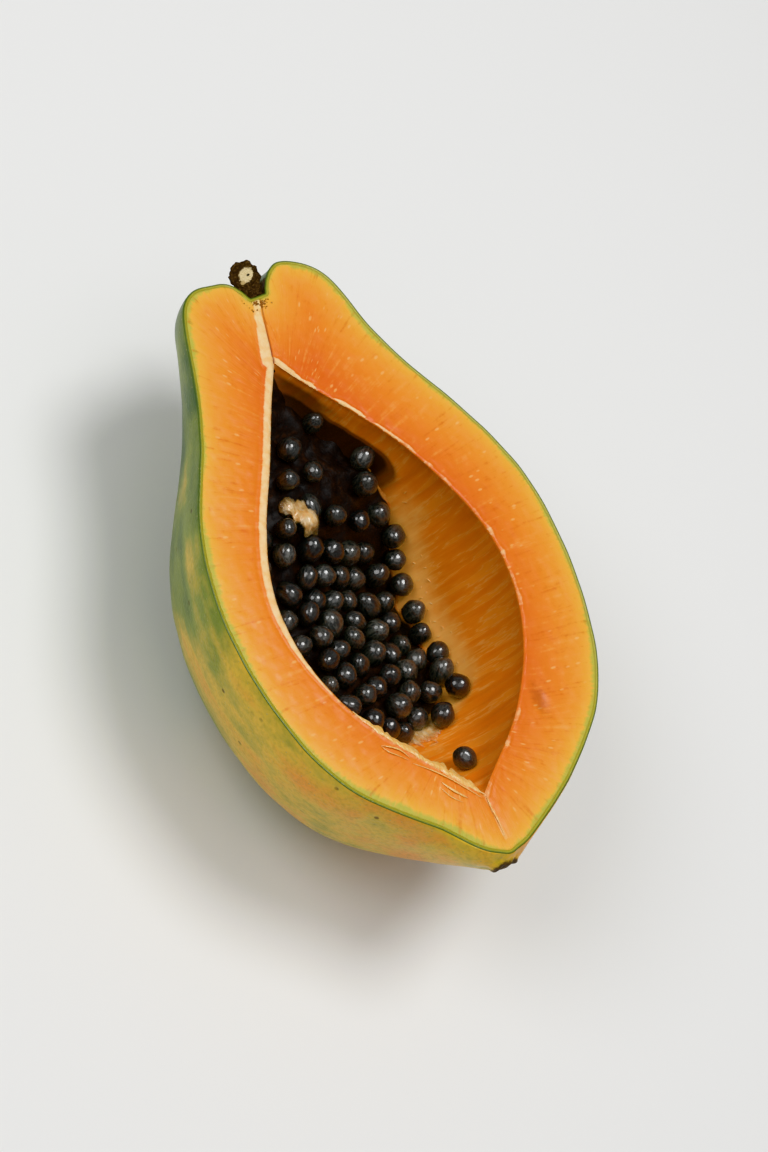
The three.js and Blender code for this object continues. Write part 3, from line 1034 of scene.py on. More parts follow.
def seedFinish(name="papaya seed"):
    # a corrugated black seed in its clear wet coat
    finish = Finish(name, {
        "Specular IOR Level": 0.3, "Coat Weight": 1.0, "Coat Roughness": 0.15, "Coat IOR": 1.7,
    })
    own, shade = finish.attribute("own", "Vector"), finish.attribute("shade")
    folds = finish.cloud(finish.stretch(own, (1.1, 3.2, 3.2)), 1.0, 3.0, 0.55)
    crest = 1 - (folds - 0.5).size() * 7
    specks = finish.cloud(own, 5.0, 3.0, 0.6)
    dark = finish.mix(shade, linear(20, 22, 23), linear(60, 64, 62))
    light = finish.mix(shade, linear(54, 56, 55), linear(124, 124, 114))
    colour = finish.mix(crest.ease(0.2, 1.0) * 0.55 + specks.ease(0.5, 0.7) * 0.2, dark, light)
    return finish.close(colour, 0.34 + specks * 0.2, crest + specks * 0.3, 0.00035, 0.5)


def scatterTree(name, shapeCount):
    # Puts one of the shapes on each point, turned at random. Gives the inputs' identifiers too.
    tree = bpy.data.node_groups.new(name + " scatter", "GeometryNodeTree")
    nodes = Nodes(tree)
    sockets = {}
    for way in ("INPUT", "OUTPUT"):
        tree.interface.new_socket("Geometry", in_out=way, socket_type="NodeSocketGeometry")
    kinds = {"Shapes": "Collection", "Finish": "Material", "Width": "Float", "Random Seed": "Int"}
    for key, kind in kinds.items():
        socket = tree.interface.new_socket(key, in_out="INPUT", socket_type="NodeSocket" + kind)
        sockets[key] = socket.identifier
    source = nodes.add("NodeGroupInput", out="Geometry")
    randomSeed = source.other("Random Seed")
    picked = nodes.add("GeometryNodeCollectionInfo", {"transform_space": "ORIGINAL"}, {
        "Collection": source.other("Shapes"), "Separate Children": True, "Reset Children": True})
    angles = nodes.add("FunctionNodeRandomValue", {"data_type": "FLOAT_VECTOR"}, {
        0: (0, 0, 0), 1: (2 * math.pi,) * 3, "Seed": randomSeed})
    anyShape = nodes.add("FunctionNodeRandomValue", {"data_type": "INT"}, {
        4: 0, 5: shapeCount - 1, "Seed": randomSeed}, out=2)
    turn = nodes.add("FunctionNodeEulerToRotation", {}, {0: angles})
    girth = nodes.add("GeometryNodeInputNamedAttribute", {"data_type": "FLOAT"}, {"Name": "girth"})
    size = nodes.add("ShaderNodeVectorMath", {"operation": "SCALE"}, {
        0: (1, 1, 1), "Scale": girth * source.other("Width")})
    placed = nodes.add("GeometryNodeInstanceOnPoints", {}, {
        "Points": source, "Instance": picked, "Pick Instance": True, "Instance Index": anyShape,
        "Rotation": turn, "Scale": size})
    real = nodes.add("GeometryNodeRealizeInstances", {}, {"Geometry": placed})
    finished = nodes.add("GeometryNodeSetMaterial", {}, {
        "Geometry": real, "Material": source.other("Finish")})
    nodes.add("NodeGroupOutput", {}, {"Geometry": finished})
    return tree, sockets


def scatter(name, shapes, points, numbers, randomSeed, finish, stands):
    # The numbers are attributes of the points; girth is each thing's width in millimetres.
    tree, sockets = scatterTree(name, len(shapes))
    store = bpy.data.collections.new(name + " shapes")
    for index, mesh in enumerate(shapes):
        store.objects.link(bpy.data.objects.new(f"{name} shape {index}", mesh))
    mesh = bpy.data.meshes.new(name + " points")
    mesh.from_pydata(toFrame(points).tolist(), [], [])
    for key, values in numbers.items():
        mesh.attributes.new(key, "FLOAT", "POINT").data.foreach_set("value", values)
    carrier = putIn(name + " points", mesh)
    modifier = carrier.modifiers.new(name, "NODES")
    modifier.node_group = tree
    inputs = {"Width": 0.001, "Random Seed": randomSeed, "Shapes": store, "Finish": finish.material}
    for key, value in inputs.items():
        modifier[sockets[key]] = value
    evaluated = carrier.evaluated_get(bpy.context.evaluated_depsgraph_get())
    result = bpy.data.meshes.new_from_object(evaluated)
    carrier.modifiers.remove(modifier)
    bpy.data.objects.remove(carrier)
    for stored in list(store.objects):
        bpy.data.objects.remove(stored)
    bpy.data.collections.remove(store)
    result.name = name
    finishPiece(name, result, finish, stands)


def makeSeeds():
    rng = np.random.default_rng(seeds["randomSeed"] + 1)
    points, radius = packedSeeds()
    stretches = rng.uniform(*seeds["stretch"], seeds["shapes"])
    shapes = [
        seedShape(f"seed shape {k}", rng, 4, stretch, seeds["wrinkle"])
        for k, stretch in enumerate(stretches)]
    numbers = {"girth": 2 * radius, "shade": rng.beta(1.3, 2.6, len(points))}
    scatter("seeds", shapes, points, numbers, seeds["randomSeed"], seedFinish(), ["seed_heap"])
    return points, radius


def makeLoneSeed():
    low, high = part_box("lone_seed")
    middle = np.array((low + high) / 2) * 1000 - origin
    gap, away = wallGap(middle[None])
    middle -= away[0] * (gap[0] - loneSeed["offWall"])     # down onto the wall
    rng = np.random.default_rng(loneSeed["randomSeed"])
    mesh = seedShape("seed_apart", rng, loneSeed["cuts"], loneSeed["stretch"], seeds["wrinkle"])
    points = np.array([vertex.co for vertex in mesh.vertices]) * loneSeed["width"]
    turn = np.array(Matrix.Rotation(math.radians(loneSeed["turn"]), 3, "Z"))
    faces = [tuple(face.vertices) for face in mesh.polygons]
    own = np.empty(3 * len(points))
    mesh.attributes["own"].data.foreach_get("vector", own)
    attributes = {"shade": np.full(len(points), loneSeed["shade"]), "own": own.reshape(-1, 3)}
    makePiece("seed_apart", points @ turn.T + middle, faces, seedFinish("papaya seed apart"),
              "seed", ["lone_seed"], attributes, weld=0.0001)


def bedFinish():
    finish = Finish("seed bed pulp and painted shade", {
        "Specular IOR Level": 0.35, "Coat Weight": 0.15, "Coat Roughness": 0.35,
    })
    lumps = finish.cloud(finish.place(), 0.45, 4.0, 0.6)
    # near-black between the seeds: painted shade; pulp-coloured near the wall
    dark = finish.ramp(lumps, [
        (0.35, linear(10, 7, 6)), (0.6, linear(26, 16, 10)), (0.8, linear(64, 36, 18))])
    nearWall = 1 - (finish.attribute("offWall") + (lumps - 0.5) * 1.2).ease(0.2, 1.5)
    pulp = finish.mix(lumps.ease(0.35, 0.65), linear(196, 112, 48), linear(236, 168, 92))
    return finish.close(finish.mix(nearWall * 0.95, dark, pulp), 0.5 + lumps * 0.2, lumps, 0.0008, 0.8)


def makeBed():
    # pulp that the seeds sit in, near-black between them as painted shade; its sides run on a little way
    # inside the wall
    top, under, offWall = [], [], []
    first, last = chamber["start"][0] + 1.0, heap["front"][0] + heap["front"][1] + 1
    columns, tries = bed["columns"], bed["tries"]
    for x in np.linspace(first, last, bed["rows"]):
        tried = np.linspace(*bed["turns"], tries)
        wall = chamberPoint(np.full(tries, x), chamberRadius(x), tried)
        used = np.flatnonzero(wall[:, 2] - bedTop(wall[:, 0], wall[:, 1]) < bed["upWall"])
        used = used[np.abs(tried[used]) < np.interp(x, *bed["narrow"])]
        angle = np.linspace(tried[used[0]], tried[used[-1]], columns)
        wall = chamberPoint(np.full(columns, x), chamberRadius(x), angle)
        level = bedTop(wall[:, 0], wall[:, 1])
        buried = bed["buried"] * (0.3 + 0.7 * ease(wall[:, 2] - level, -0.6, 0.6))
        out = np.stack([0 * angle, np.sin(angle), -np.cos(angle)], -1)
        line = wall + out * buried[:, None]
        line[:, 2] = np.maximum(level, line[:, 2])
        top.append(line)
        offWall.append(line[:, 2] - wall[:, 2])
        below = wall + out * (bed["buried"] + bed["thickness"])
        below[:, 2] = np.minimum(below[:, 2], line[:, 2] - 0.1)
        under.append(below)
    top, under = np.array(top), np.array(under)
    under[:, [0, -1]], under[[0, -1]] = top[:, [0, -1]], top[[0, -1]]
    points, faces = stitched((top, under), (False, True))
    # in the narrow end it stays dark all the way to the wall, as painted shade
    offWall = np.concatenate([np.ravel(offWall), np.zeros(under[..., 0].size)])
    offWall += 3 * (1 - ease(points[:, 0], 34, 50))
    makePiece("seed_bed", points, faces, bedFinish(), "seed", ["seed_heap"], {"offWall": offWall})


# Loose pulp and lining.

lining = {
    "from": 103.0,                 # along the near rim, from here to the chamber's end
    "overhang": 2.4,               # how far it reaches in over the chamber
    "outside": 0.9,                # how far it lies on the cut
    "least": 0.12,                 # at its thin ends, either way
    "grows": 9,                    # over this length
    "fades": (126, 131.6),
    "thickness": 0.26,
    "rise": 0.2,                   # of its outer edge off the cut
    "hang": 1.5,                   # of its inner edge below the rim
    "tears": (110.4, 117.8, 123.6),
    "tear": (0.7, 0.45),           # depth as a share of it, and width
    "rows": 150,
    "columns": 15,
}
shredLine = {"points": 26, "sides": 10, "offCut": 0.08}
shreds = {
    # torn threads of lining on the cut: (x, y, height) of a few points, then width and thickness
    "split end": (
        ((112.6, -22.9, 0.0), (113.6, -20.9, 0.35), (115.1, -18.6, 0.35), (117.6, -17.0, 0.0)), 0.4, 0.2),
    "split end loop": (
        ((112.6, -22.9, 0.0), (114.6, -21.9, 0.3), (115.9, -20.0, 0.2), (117.9, -17.6, 0.0)), 0.3, 0.18),
    "long thread": (
        ((118.6, -17.4, 0.0), (121.6, -13.4, 0.2), (124.8, -9.9, 0.25), (128.4, -6.7, 0.1),
         (131.9, -3.9, 0.0)), 0.35, 0.2),
    "flap": (
        ((124.9, -12.2, 0.0), (126.6, -11.2, 0.2), (128.6, -9.6, 0.25), (130.6, -7.4, 0.0)), 0.55, 0.16),
    "flap edge": (
        ((125.9, -13.0, 0.0), (127.6, -12.4, 0.1), (129.6, -11.0, 0.1), (131.2, -9.0, 0.0)), 0.25, 0.14),
    "crease thread": (
        ((131.3, -2.6, 0.0), (134.5, -3.1, 0.15), (138.0, -2.6, 0.12), (141.5, -2.9, 0.0)), 0.35, 0.22),
}
frill = {
    "across": (-5.0, 12.0),        # from one side of the heap's foot to the other
    "foot": (108.6, 3.5, 0.045),   # where it starts, at which y it does so furthest on, and the bend
    "under": 3,                    # how far it starts in under the seeds
    "reach": 3.4,                  # beyond the seeds
    "ragged": (2.2, 0.6),          # how much that varies, over 2.6 and 0.9 mm
    "least": 0.6,                  # and its least reach
    "endsOver": 3,                 # length over which it dies out at either side
    "lift": (0.25, 0.6),           # off the wall: all over, and more in the middle
    "lumps": 0.5,
    "thickness": 0.18,
    "rows": 150,
    "columns": 14,
}
film = {
    # a thin skin of pale pulp that lies over a few seeds
    "ends": ((49.0, -13.4), (57.2, -4.6)), "width": 7.0, "thickness": 0.16, "over": 0.1,
    "ragged": (0.7, 0.25),         # how much its outline varies, over 2.6 and 0.9 mm
    "swell": 1.1,                  # room for the seeds' own shape
    "overBed": 0.8,                # least height above the pulp between the seeds
    "stretched": 30,               # rounds that draw it flat between the seeds
    "lumps": 0.12,
    "rows": 70,
    "columns": 44,
}
threads = {
    # fine ends that held the seeds which have come away from the wall
    "count": 40, "length": (0.5, 1.2), "width": (0.18, 0.32), "along": (46.0, 111.0),
    "band": (0.1, 4.5),            # height above the heap
    "turns": (-0.2, 1.4),          # how far round the wall, in radians
    "lean": 0.7,                   # how far they lean along it, in radians
    "curl": 0.3,                   # as a share of their length, sideways
    "standOff": (0.05, 0.4),       # and off the wall
    "points": 9, "sides": 6,
    "randomSeed": 21,
}
crumbs = {
    "count": 44, "size": (0.16, 0.5), "shapes": 5, "randomSeed": 31,
    "across": (-1.6, 1.9),         # middle and spread, across the fruit
    "fromPit": (1.3, 1.3),         # least distance from the pit's floor, and spread beyond it
    "bend": 0.05,                  # of their line round the pit
}


def liningFinish(name="pale lining"):
    finish = Finish(name, {
        "Specular IOR Level": 0.4, "Subsurface Weight": 0.3, "Subsurface Scale": 0.002,
        "Subsurface Radius": (1.0, 0.6, 0.35), "Coat Weight": 0.6, "Coat Roughness": 0.15,
    })
    spot = finish.place()
    fibres = finish.cloud(finish.stretch(spot, (0.8, 2.6, 1.5)), 1.0, 4.0, 0.6)
    fine = finish.cloud(spot, 2.2, 3.0, 0.6)
    colour = finish.ramp(fibres, [
        (0.3, linear(242, 166, 82)), (0.5, linear(248, 192, 112)), (0.72, linear(252, 214, 146))])
    colour = finish.mix((fine - 0.45) * 0.4, colour, linear(238, 158, 76))
    return finish.close(colour, 0.38 + fine * 0.2, fibres * 0.7 + fine * 0.3, 0.0002, 0.6)


def filmFinish(name="pulp film"):
    finish = Finish(name, {
        "Specular IOR Level": 0.5, "Subsurface Weight": 0.2, "Subsurface Scale": 0.002,
        "Subsurface Radius": (1.0, 0.7, 0.4), "Coat Weight": 1.0, "Coat Roughness": 0.1,
    })
    spot = finish.place()
    veins = finish.cloud(finish.stretch(spot, (0.5, 1.0, 0.6)), 1.0, 4.0, 0.6)
    fine = finish.cloud(spot, 1.6, 3.0, 0.6)
    colour = finish.ramp(veins, [
        (0.3, linear(240, 172, 96)), (0.5, linear(248, 204, 138)), (0.7, linear(252, 228, 184))])
    body = (finish.attribute("body") + (veins - 0.5) * 0.8).ease(0.0, 0.9)
    finish.plug(finish.shader.inputs["Alpha"], body * 0.66 + 0.1)
    return finish.close(colour, 0.3 + fine * 0.2, veins * 0.7 + fine * 0.3, 0.0003, 0.6)


def wrapped(top, under):
    # rows that go out along a sheet's top and back along its underside
    return np.concatenate([top, under[:, ::-1], top[:, :1]], axis=1)


def pinched(grid):
    # each end row drawn together into a point
    grid[0], grid[-1] = grid[0].mean(axis=0), grid[-1].mean(axis=0)
    return grid


def makeSheet(name, top, thickness, finish, body=None):
    # a thin closed sheet; body is how solid it looks at each point
    normals = gridNormals(top)
    if normals[..., 2].mean() < 0:
        normals = -normals
    grid = pinched(wrapped(top, top - normals * thickness))
    attributes = None if body is None else {"body": np.ravel(wrapped(body, body))}
    makePiece(name, *stitched((grid,), (True,)), finish, "flesh", None, attributes)


def strandGrid(path, width, thickness, sides):
    heading = unit(np.gradient(path, axis=0))
    across = unit(np.cross(heading, (0, 0, 1)))
    lift = np.cross(across, heading)
    taper = np.sin(np.pi * np.linspace(0.0, 1, len(path))) ** 0.5
    taper *= 1 + 0.5 * bumps(path, 1.1, 2.7)
    turn = np.linspace(0, -2 * math.pi, sides + 1)
    flat = (across * (taper * width / 2)[:, None])[:, None] * np.cos(turn)[None, :, None]
    high = (lift * (taper * thickness / 2)[:, None])[:, None] * np.sin(turn)[None, :, None]
    grid = path[:, None] + flat + high
    grid[:, -1] = grid[:, 0]
    return pinched(grid)


def makeStrands(name, grids, finishName):
    points, faces = stitched(grids, (False,) * len(grids))
    makePiece(name, points, faces, liningFinish(finishName), "flesh", None)


def makeLining():
    # the near rim from its start to the chamber's end, and a sheet that lies across it
    stations, turn = chamberStations(np.linspace(0, 1, 800))
    rim = chamberPoint(stations[:, 0], stations[:, 1], -turn)
    rim = resampled(rim[rim[:, 0] > lining["from"]], lining["rows"])
    heading = unit(np.gradient(rim, axis=0))
    inward = np.column_stack([-heading[:, 1], heading[:, 0], 0 * heading[:, 0]])
    x = rim[:, 0]
    start = lining["from"]
    swell = ease(x, start, start + lining["grows"]) * (1 - ease(x, *lining["fades"]))
    ragged = 0.75 + 0.8 * bumps(rim, 3.4, 5.5) + 0.3 * bumps(rim, 1.1, 2.2)
    tearDepth, tearWidth = lining["tear"]
    for tear in lining["tears"]:
        ragged = ragged * (1 - tearDepth * bell(x - tear, tearWidth))
    inside = np.maximum(lining["overhang"] * swell * ragged, lining["least"])
    outside = lining["outside"] * swell * (0.8 + 0.9 * bumps(rim, 1.8, 8.8)) + lining["least"]
    steps = np.linspace(0, 1, lining["columns"])
    reach = blend(-outside[:, None], inside[:, None], steps[None])
    share = np.clip(reach / lining["overhang"], 0, 1.3)
    rise = lining["rise"] * np.sin(np.pi * np.clip(steps, 0, 0.7) / 0.7) ** 0.7
    height = (rise - lining["hang"] * share ** 1.4) * swell[:, None] - 0.12
    top = rim[:, None] + inward[:, None] * reach[..., None]
    top[..., 2] = height + 0.16 * swell[:, None] * bumps(top, 1.9, 7.1)
    top[..., 2] += (1 - ease(reach, -0.4, 0.4)) * cutWave(top)
    thickness = lining["thickness"] * (0.35 + 0.65 * swell[:, None, None])
    makeSheet("chamber_lining", top, thickness, liningFinish())


def makeShreds():
    grids = []
    for path, width, thickness in shreds.values():
        line = smoothed(path, shredLine["points"])
        line[:, 2] += cutWave(line) + shredLine["offCut"]
        grids.append(strandGrid(line, width, thickness, shredLine["sides"]))
    makeStrands("lining_shreds", grids, "torn lining")


def makeFrill():
    # a lacy film of pulp that lies on the wall in front of the heap
    low, high = frill["across"]
    y = np.linspace(low, high, frill["rows"])
    over = frill["endsOver"]
    ends = ease(y, low, low + over) * (1 - ease(y, high - over, high))
    line = np.column_stack([y, y, 0 * y])
    wide, fine = frill["ragged"]
    ragged = wide * bumps(line, 2.6, 3.9) + fine * bumps(line, 0.9, 1.7)
    furthest, atY, bend = frill["foot"]
    foot = furthest - bend * (y - atY) ** 2
    tip = foot + np.maximum(frill["reach"] + ragged, frill["least"]) * (0.25 + 0.75 * ends)
    steps = np.linspace(0, 1, frill["columns"])
    x = blend(foot[:, None] - frill["under"], tip[:, None], steps[None])
    yy = np.repeat(y[:, None], len(steps), 1)
    allOver, inMiddle = frill["lift"]
    lift = allOver + inMiddle * np.sin(np.pi * steps)[None] * ends[:, None]
    top = np.stack([x, yy, wallFloor(x, yy) + lift], -1)
    top[..., 2] += frill["lumps"] * ends[:, None] * bumps(top, 1.5, 6.6)
    body = np.repeat(1.1 - steps[None] ** 2, len(y), 0)
    makeSheet("pulp_frill", top, frill["thickness"], filmFinish("lacy pulp"), body)


def makeFilm(points, radius):
    rows, columns = np.linspace(-1, 1, film["rows"]), np.linspace(-1, 1, film["columns"])
    u, v = np.meshgrid(rows, columns, indexing="ij")
    start, end = np.array(film["ends"])
    middle, half = (start + end) / 2, (end - start) / 2
    a, b = u * np.linalg.norm(half), v * np.sqrt(np.clip(1 - u ** 2, 0, 1)) * film["width"] / 2
    flat = np.stack([a, b, 0 * a], -1)
    wide, fine = film["ragged"]
    ragged = 1 + wide * bumps(flat, 2.6, 4.4) + fine * bumps(flat, 0.9, 1.4)
    a, b = a * (0.85 + 0.15 * ragged), b * ragged
    c, s = half / np.linalg.norm(half)
    x, y = middle[0] + a * c - b * s, middle[1] + a * s + b * c
    gap = np.hypot(x[..., None] - points[:, 0], y[..., None] - points[:, 1])
    swollen = radius * film["swell"]
    domes = points[:, 2] + np.sqrt(np.clip(swollen ** 2 - gap ** 2, 0, None))
    seedTops = np.where(gap < swollen, domes, restZ).max(-1)
    sagging = np.maximum(seedTops, bedTop(x, y) + film["overBed"])
    for _ in range(film["stretched"]):
        around = np.pad(sagging, 1, mode="edge")
        evened = (around[:-2, 1:-1] + around[2:, 1:-1] + around[1:-1, :-2] + around[1:-1, 2:]) / 4
        sagging = np.maximum(evened, seedTops)
    top = np.stack([x, y, sagging + film["over"]], -1)
    top[..., 2] += film["lumps"] * bumps(top, 0.8, 2.2)
    makeSheet("pulp_film", top, film["thickness"], filmFinish(), (1 - u ** 2) * (1 - v ** 2))


def makeThreads():
    rng = np.random.default_rng(threads["randomSeed"])
    grids = []
    low, high = threads["band"]
    while len(grids) < threads["count"]:
        x, angle = rng.uniform(*threads["along"]), rng.uniform(*threads["turns"])
        place = chamberPoint(x, chamberRadius(x), angle)
        above = place[2] - heapTop(place[0], place[1])
        if not low < above < high or rng.uniform() > 1.15 - above / high:
            continue
        length, width = rng.uniform(*threads["length"]), rng.uniform(*threads["width"])
        steps = np.linspace(0, 1, threads["points"])
        lean = rng.normal(0, threads["lean"])
        curl = threads["curl"] * np.sin(rng.uniform(-3, 3))
        forward = length * (np.sin(lean) * steps + curl * steps ** 2)
        slide = length * np.cos(lean) * steps / chamberRadius(x)
        path = chamberPoint(x + forward, chamberRadius(x + forward), angle - slide)
        inward = np.stack([0 * steps, -np.sin(angle - slide), np.cos(angle - slide)], -1)
        standOff = length * rng.uniform(*threads["standOff"])
        path += inward * (width * 0.3 + standOff * steps ** 2)[:, None]
        grids.append(strandGrid(path, width, width * 0.8, threads["sides"]))
    makeStrands("wall_threads", grids, "wall threads")


def makeCrumbs():
    # dry crumbs along the edge of the stalk's pit
    rng = np.random.default_rng(crumbs["randomSeed"])
    count = crumbs["count"]
    y = rng.normal(*crumbs["across"], count)
    least, spread = crumbs["fromPit"]
    x = fruit["pit"][0] + least + np.abs(rng.normal(0, spread, count)) - crumbs["bend"] * (y + 1) ** 2
    points = np.column_stack([x, y, np.full(count, 0.12)])
    points[:, 2] += cutWave(points)
    shapes = [seedShape(f"crumb shape {k}", rng, 2, 1.2, 0.7) for k in range(crumbs["shapes"])]
    numbers = {"girth": rng.uniform(*crumbs["size"], count)}
    scatter("pit_crumbs", shapes, points, numbers, crumbs["randomSeed"], crumbFinish(), None)


def crumbFinish():
    finish = Finish("dry crumbs", {"Specular IOR Level": 0.3})
    grain = finish.cloud(finish.place(), 1.2, 4.0, 0.6)
    colour = finish.ramp(grain, [
        (0.3, linear(96, 60, 28)), (0.5, linear(170, 118, 62)), (0.7, linear(226, 184, 122))])
    return finish.close(colour, 0.6 + grain * 0.3, grain, 0.0002, 0.6)


# The stalk.

stalk = {
    "foot": (1.0, -0.6, -2.9),
    "face": (-5.5, -0.5, -2.3),
    "facing": (-0.3, -0.42, 0.86),
    "radius": (2.6, 3.5),          # at the foot and at the rim
    "ribs": (9, 0.035),            # how many, and how far they stand out
    "rings": 30,
    "sides": 96,
    # rings of (radius, how far they stand out of the cut end): the ragged bark, then the middle
    "bark": ((3.55, 0.6), (3.35, 1.0), (3.05, 0.85), (2.75, 0.45), (2.4, 0.15)),
    "middle": (
        (2.0, -0.05), (1.7, 0.1), (1.4, 0.16), (1.1, 0.12), (0.8, 0.05), (0.5, 0.02), (0.25, 0.0),
        (0.0, 0.0)),
    "rough": (0.55, 0.4, 0.16),    # of its side, of the bark's edge and of the middle
    "highest": 5.05,               # how far round the bark it is highest, in radians
    # marks on the cut end: where, across and up, and for the pale middle half its size
    "pith": ((0.1, 0.5), (2.5, 1.8)),
    "holeShade": (0.1, 1.0),
    "patch": (-2.25, 0.1),
}


def stalkFinish():
    finish = Finish("cut stalk", {"Specular IOR Level": 0.3})
    spot = finish.place()
    onFace = finish.attribute("onFace")
    grain, fine = finish.cloud(spot, 1.6, 4.0, 0.65), finish.cloud(spot, 5.0, 2.0, 0.6)
    bark = finish.ramp(grain, [
        (0.3, linear(30, 20, 12)), (0.52, linear(66, 46, 26)), (0.74, linear(122, 98, 62))])
    pith = finish.mix(fine.ease(0.35, 0.65), linear(206, 182, 128), linear(236, 220, 178))
    pithMask = 1 - (finish.attribute("fromPith") + (grain - 0.5) * 0.75).ease(0.82, 1.0)
    holeShade = 1 - (finish.attribute("fromHole") + (fine - 0.5) * 0.25).ease(0.25, 0.5)
    patch = 1 - (finish.attribute("fromPatch") + (grain - 0.5) * 0.7).ease(0.45, 0.75)
    colour = finish.mix(pithMask * onFace, bark, pith)
    colour = finish.mix(patch * onFace * 0.9, colour, linear(196, 170, 116))
    # a dark spot in the pale middle: painted shade of a hollow, where the end is flat
    colour = finish.mix(holeShade * onFace, colour, linear(30, 20, 12))
    roughness = 0.82 - pithMask * onFace * 0.2
    return finish.close(colour, roughness, grain * 0.8 + fine * 0.3, 0.0004, 0.8)


def makeStalk():
    foot, face = np.array(stalk["foot"]), np.array(stalk["face"])
    sides = np.linspace(0, 2 * math.pi, stalk["sides"] + 1)
    footRadius, rimRadius = stalk["radius"]

    def frameAt(share):
        facing = unit(blend(np.array([-1.0, 0, 0]), np.array(stalk["facing"]), share))
        across = unit(np.cross(facing, (0, 0, 1)))
        return facing, across, np.cross(across, facing)

    def ring(share, radius, rise, rough):
        facing, across, upward = frameAt(share)
        centre = blend(foot, face, share) + facing * rise
        spokes = np.cos(sides)[:, None] * across + np.sin(sides)[:, None] * upward
        line = centre + spokes * radius
        wobble = rough * (bumps(line, 1.5, 4.2) + 0.7 * bumps(line, 0.7, 9.4))
        return line + spokes * wobble[:, None] + facing * wobble[:, None] * 0.5

    ribCount, ribHeight = stalk["ribs"]
    ribbed = 1 + ribHeight * np.cos(ribCount * sides)[:, None]
    sideRough, barkRough, middleRough = stalk["rough"]
    rows = [np.repeat(foot[None], len(sides), axis=0)]
    for share in np.linspace(0, 1, stalk["rings"]):
        radius = blend(footRadius, rimRadius, ease(share, 0.45, 0.9))
        rows.append(ring(share, radius * ribbed, 0, sideRough))
    # the ragged edge of bark stands round the cut end, highest on one side
    fromHighest = np.abs((sides - stalk["highest"] + math.pi) % (2 * math.pi) - math.pi)
    circle = np.stack([np.cos(sides) * 3, np.sin(sides) * 3, 0 * sides], -1)
    ragged = 0.55 + 0.75 * bell(fromHighest, 0.9) + 0.9 * bumps(circle, 1.1, 3.3)
    ragged = np.maximum(ragged, 0.15)[:, None]
    rows += [ring(1, radius, ragged * rise, barkRough) for radius, rise in stalk["bark"]]
    rows += [ring(1, radius, rise, middleRough if radius else 0) for radius, rise in stalk["middle"]]
    body = np.array(rows)
    body[:, -1] = body[:, 0]
    onFace = np.repeat(np.arange(len(rows)) > stalk["rings"], len(sides)).astype(float)
    _, across, upward = frameAt(1)
    points, faces = stitched((body,), (False,))

    def awayFrom(place, size=(1, 1)):
        offset = points - (face + across * place[0] + upward * place[1])
        return np.hypot(offset @ across / size[0], offset @ upward / size[1])

    attributes = {
        "onFace": onFace, "fromPith": awayFrom(*stalk["pith"]),
        "fromHole": awayFrom(stalk["holeShade"]), "fromPatch": awayFrom(stalk["patch"]),
    }
    makePiece("stalk_end", points, faces, stalkFinish(), "stalk", ["stalk_stub"], attributes)


# Camera, light and floor.

camera = {
    "azimuth": 20.0, "elevation": 54.08, "roll": 48.36,
    "distance": 620.0,
    "target": (75.555, -2.453, 0.0),
    "lens": 84.1, "sensor": 36.0, "clip": (0.01, 20),
}
lights = {
    # azimuth and elevation of each lamp seen from the fruit, its size in metres and its power
    "key": {"azimuth": 203, "elevation": 79, "size": 0.45, "distance": 1.1, "power": 5.4},
    "fill": {"azimuth": -30, "elevation": 48, "size": 0.9, "distance": 1.6, "power": 7.5},
    "top": {"azimuth": 60, "elevation": 76, "size": 1.0, "distance": 1.4, "power": 2.4},
}
studio = {"ambient": 0.3, "floorHalf": 3.0, "floorColour": (0.86, 0.86, 0.85), "floorRoughness": 0.75}


def directionOf(azimuth, elevation):
    a, e = math.radians(azimuth), math.radians(elevation)
    return Vector((math.sin(a) * math.cos(e), -math.cos(a) * math.cos(e), math.sin(e)))


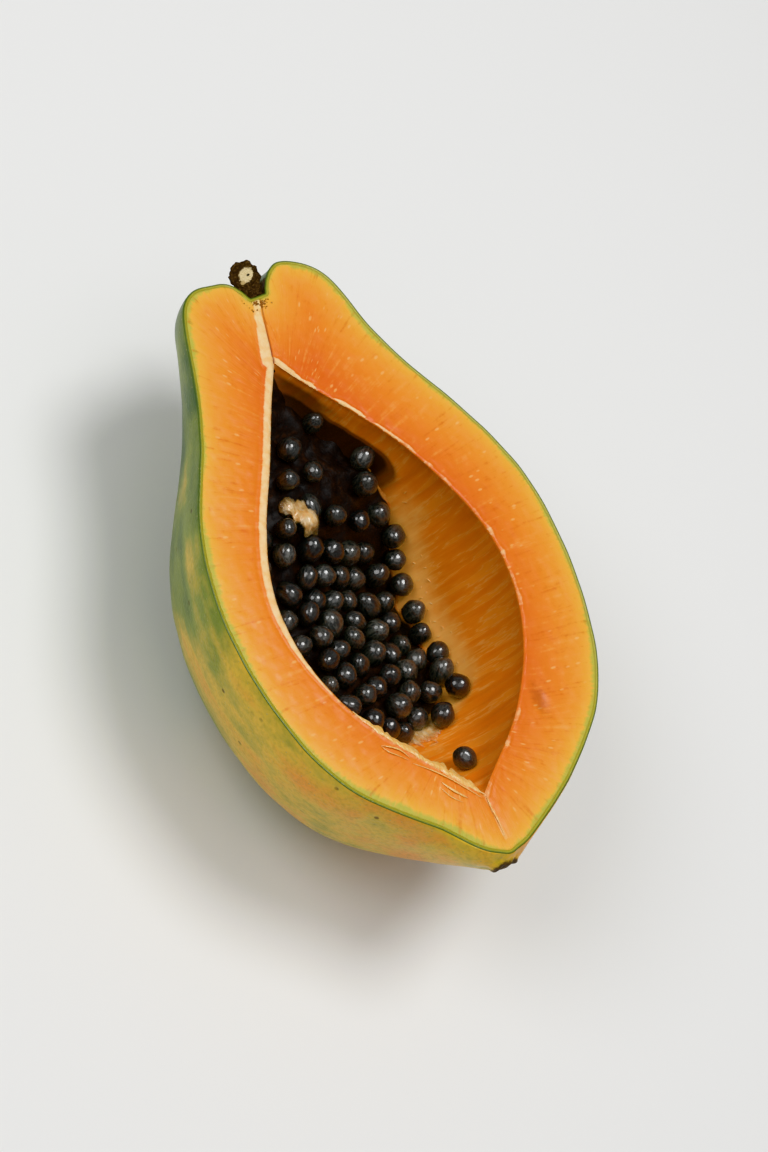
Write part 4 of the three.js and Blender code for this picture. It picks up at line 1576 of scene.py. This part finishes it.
def makeCamera():
    data = bpy.data.cameras.new("camera")
    data.lens, data.sensor_width = camera["lens"], camera["sensor"]
    data.clip_start, data.clip_end = camera["clip"]
    seer = putIn("camera", data)
    back = directionOf(camera["azimuth"], camera["elevation"])
    level = Vector((0, 0, 1)).cross(back).normalized()
    upward = back.cross(level)
    roll = math.radians(camera["roll"])
    right = level * math.cos(roll) + upward * math.sin(roll)
    up = upward * math.cos(roll) - level * math.sin(roll)
    turned = Matrix((right, up, back)).transposed().to_4x4()
    turned.translation = Vector(toFrame(camera["target"])) + back * camera["distance"] * 0.001
    seer.matrix_world = turned
    bpy.context.scene.camera = seer
    print("camera set")


def makeLights():
    middle = (Vector(cadBounds[0]) + Vector(cadBounds[1])) / 2
    for name, lamp in lights.items():
        data = bpy.data.lights.new(name, "AREA")
        data.shape, data.size, data.energy = "DISK", lamp["size"], lamp["power"]
        light = putIn(name, data)
        back = directionOf(lamp["azimuth"], lamp["elevation"])
        light.location = middle + back * lamp["distance"]
        light.rotation_euler = back.to_track_quat("Z", "Y").to_euler()
    world = bpy.data.worlds.new("studio")
    world.use_nodes = True
    backdrop = world.node_tree.nodes["Background"]
    backdrop.inputs["Color"].default_value = (1.0, 1.0, 1.0, 1)
    backdrop.inputs["Strength"].default_value = studio["ambient"]
    bpy.context.scene.world = world
    print(f"lights: {len(lights)}")


def makeFloor():
    finish = Finish("pale floor", {
        "Base Color": studio["floorColour"], "Roughness": studio["floorRoughness"]})
    mesh = bpy.data.meshes.new("floor")
    half = studio["floorHalf"]
    corners = [(-half, -half, 0), (half, -half, 0), (half, half, 0), (-half, half, 0)]
    mesh.from_pydata(corners, [], [(0, 1, 2, 3)])
    mesh.materials.append(finish.material)
    putIn("floor", mesh)


form = buildShell()
makeSkin(form)
makeFlesh(form)
makeBed()
heaped = makeSeeds()
makeLoneSeed()
makeLining()
makeShreds()
makeFrill()
makeFilm(*heaped)
makeThreads()
makeStalk()
makeCrumbs()
makeFloor()
makeLights()
makeCamera()

bpy.context.scene.view_settings.view_transform = "Khronos PBR Neutral"
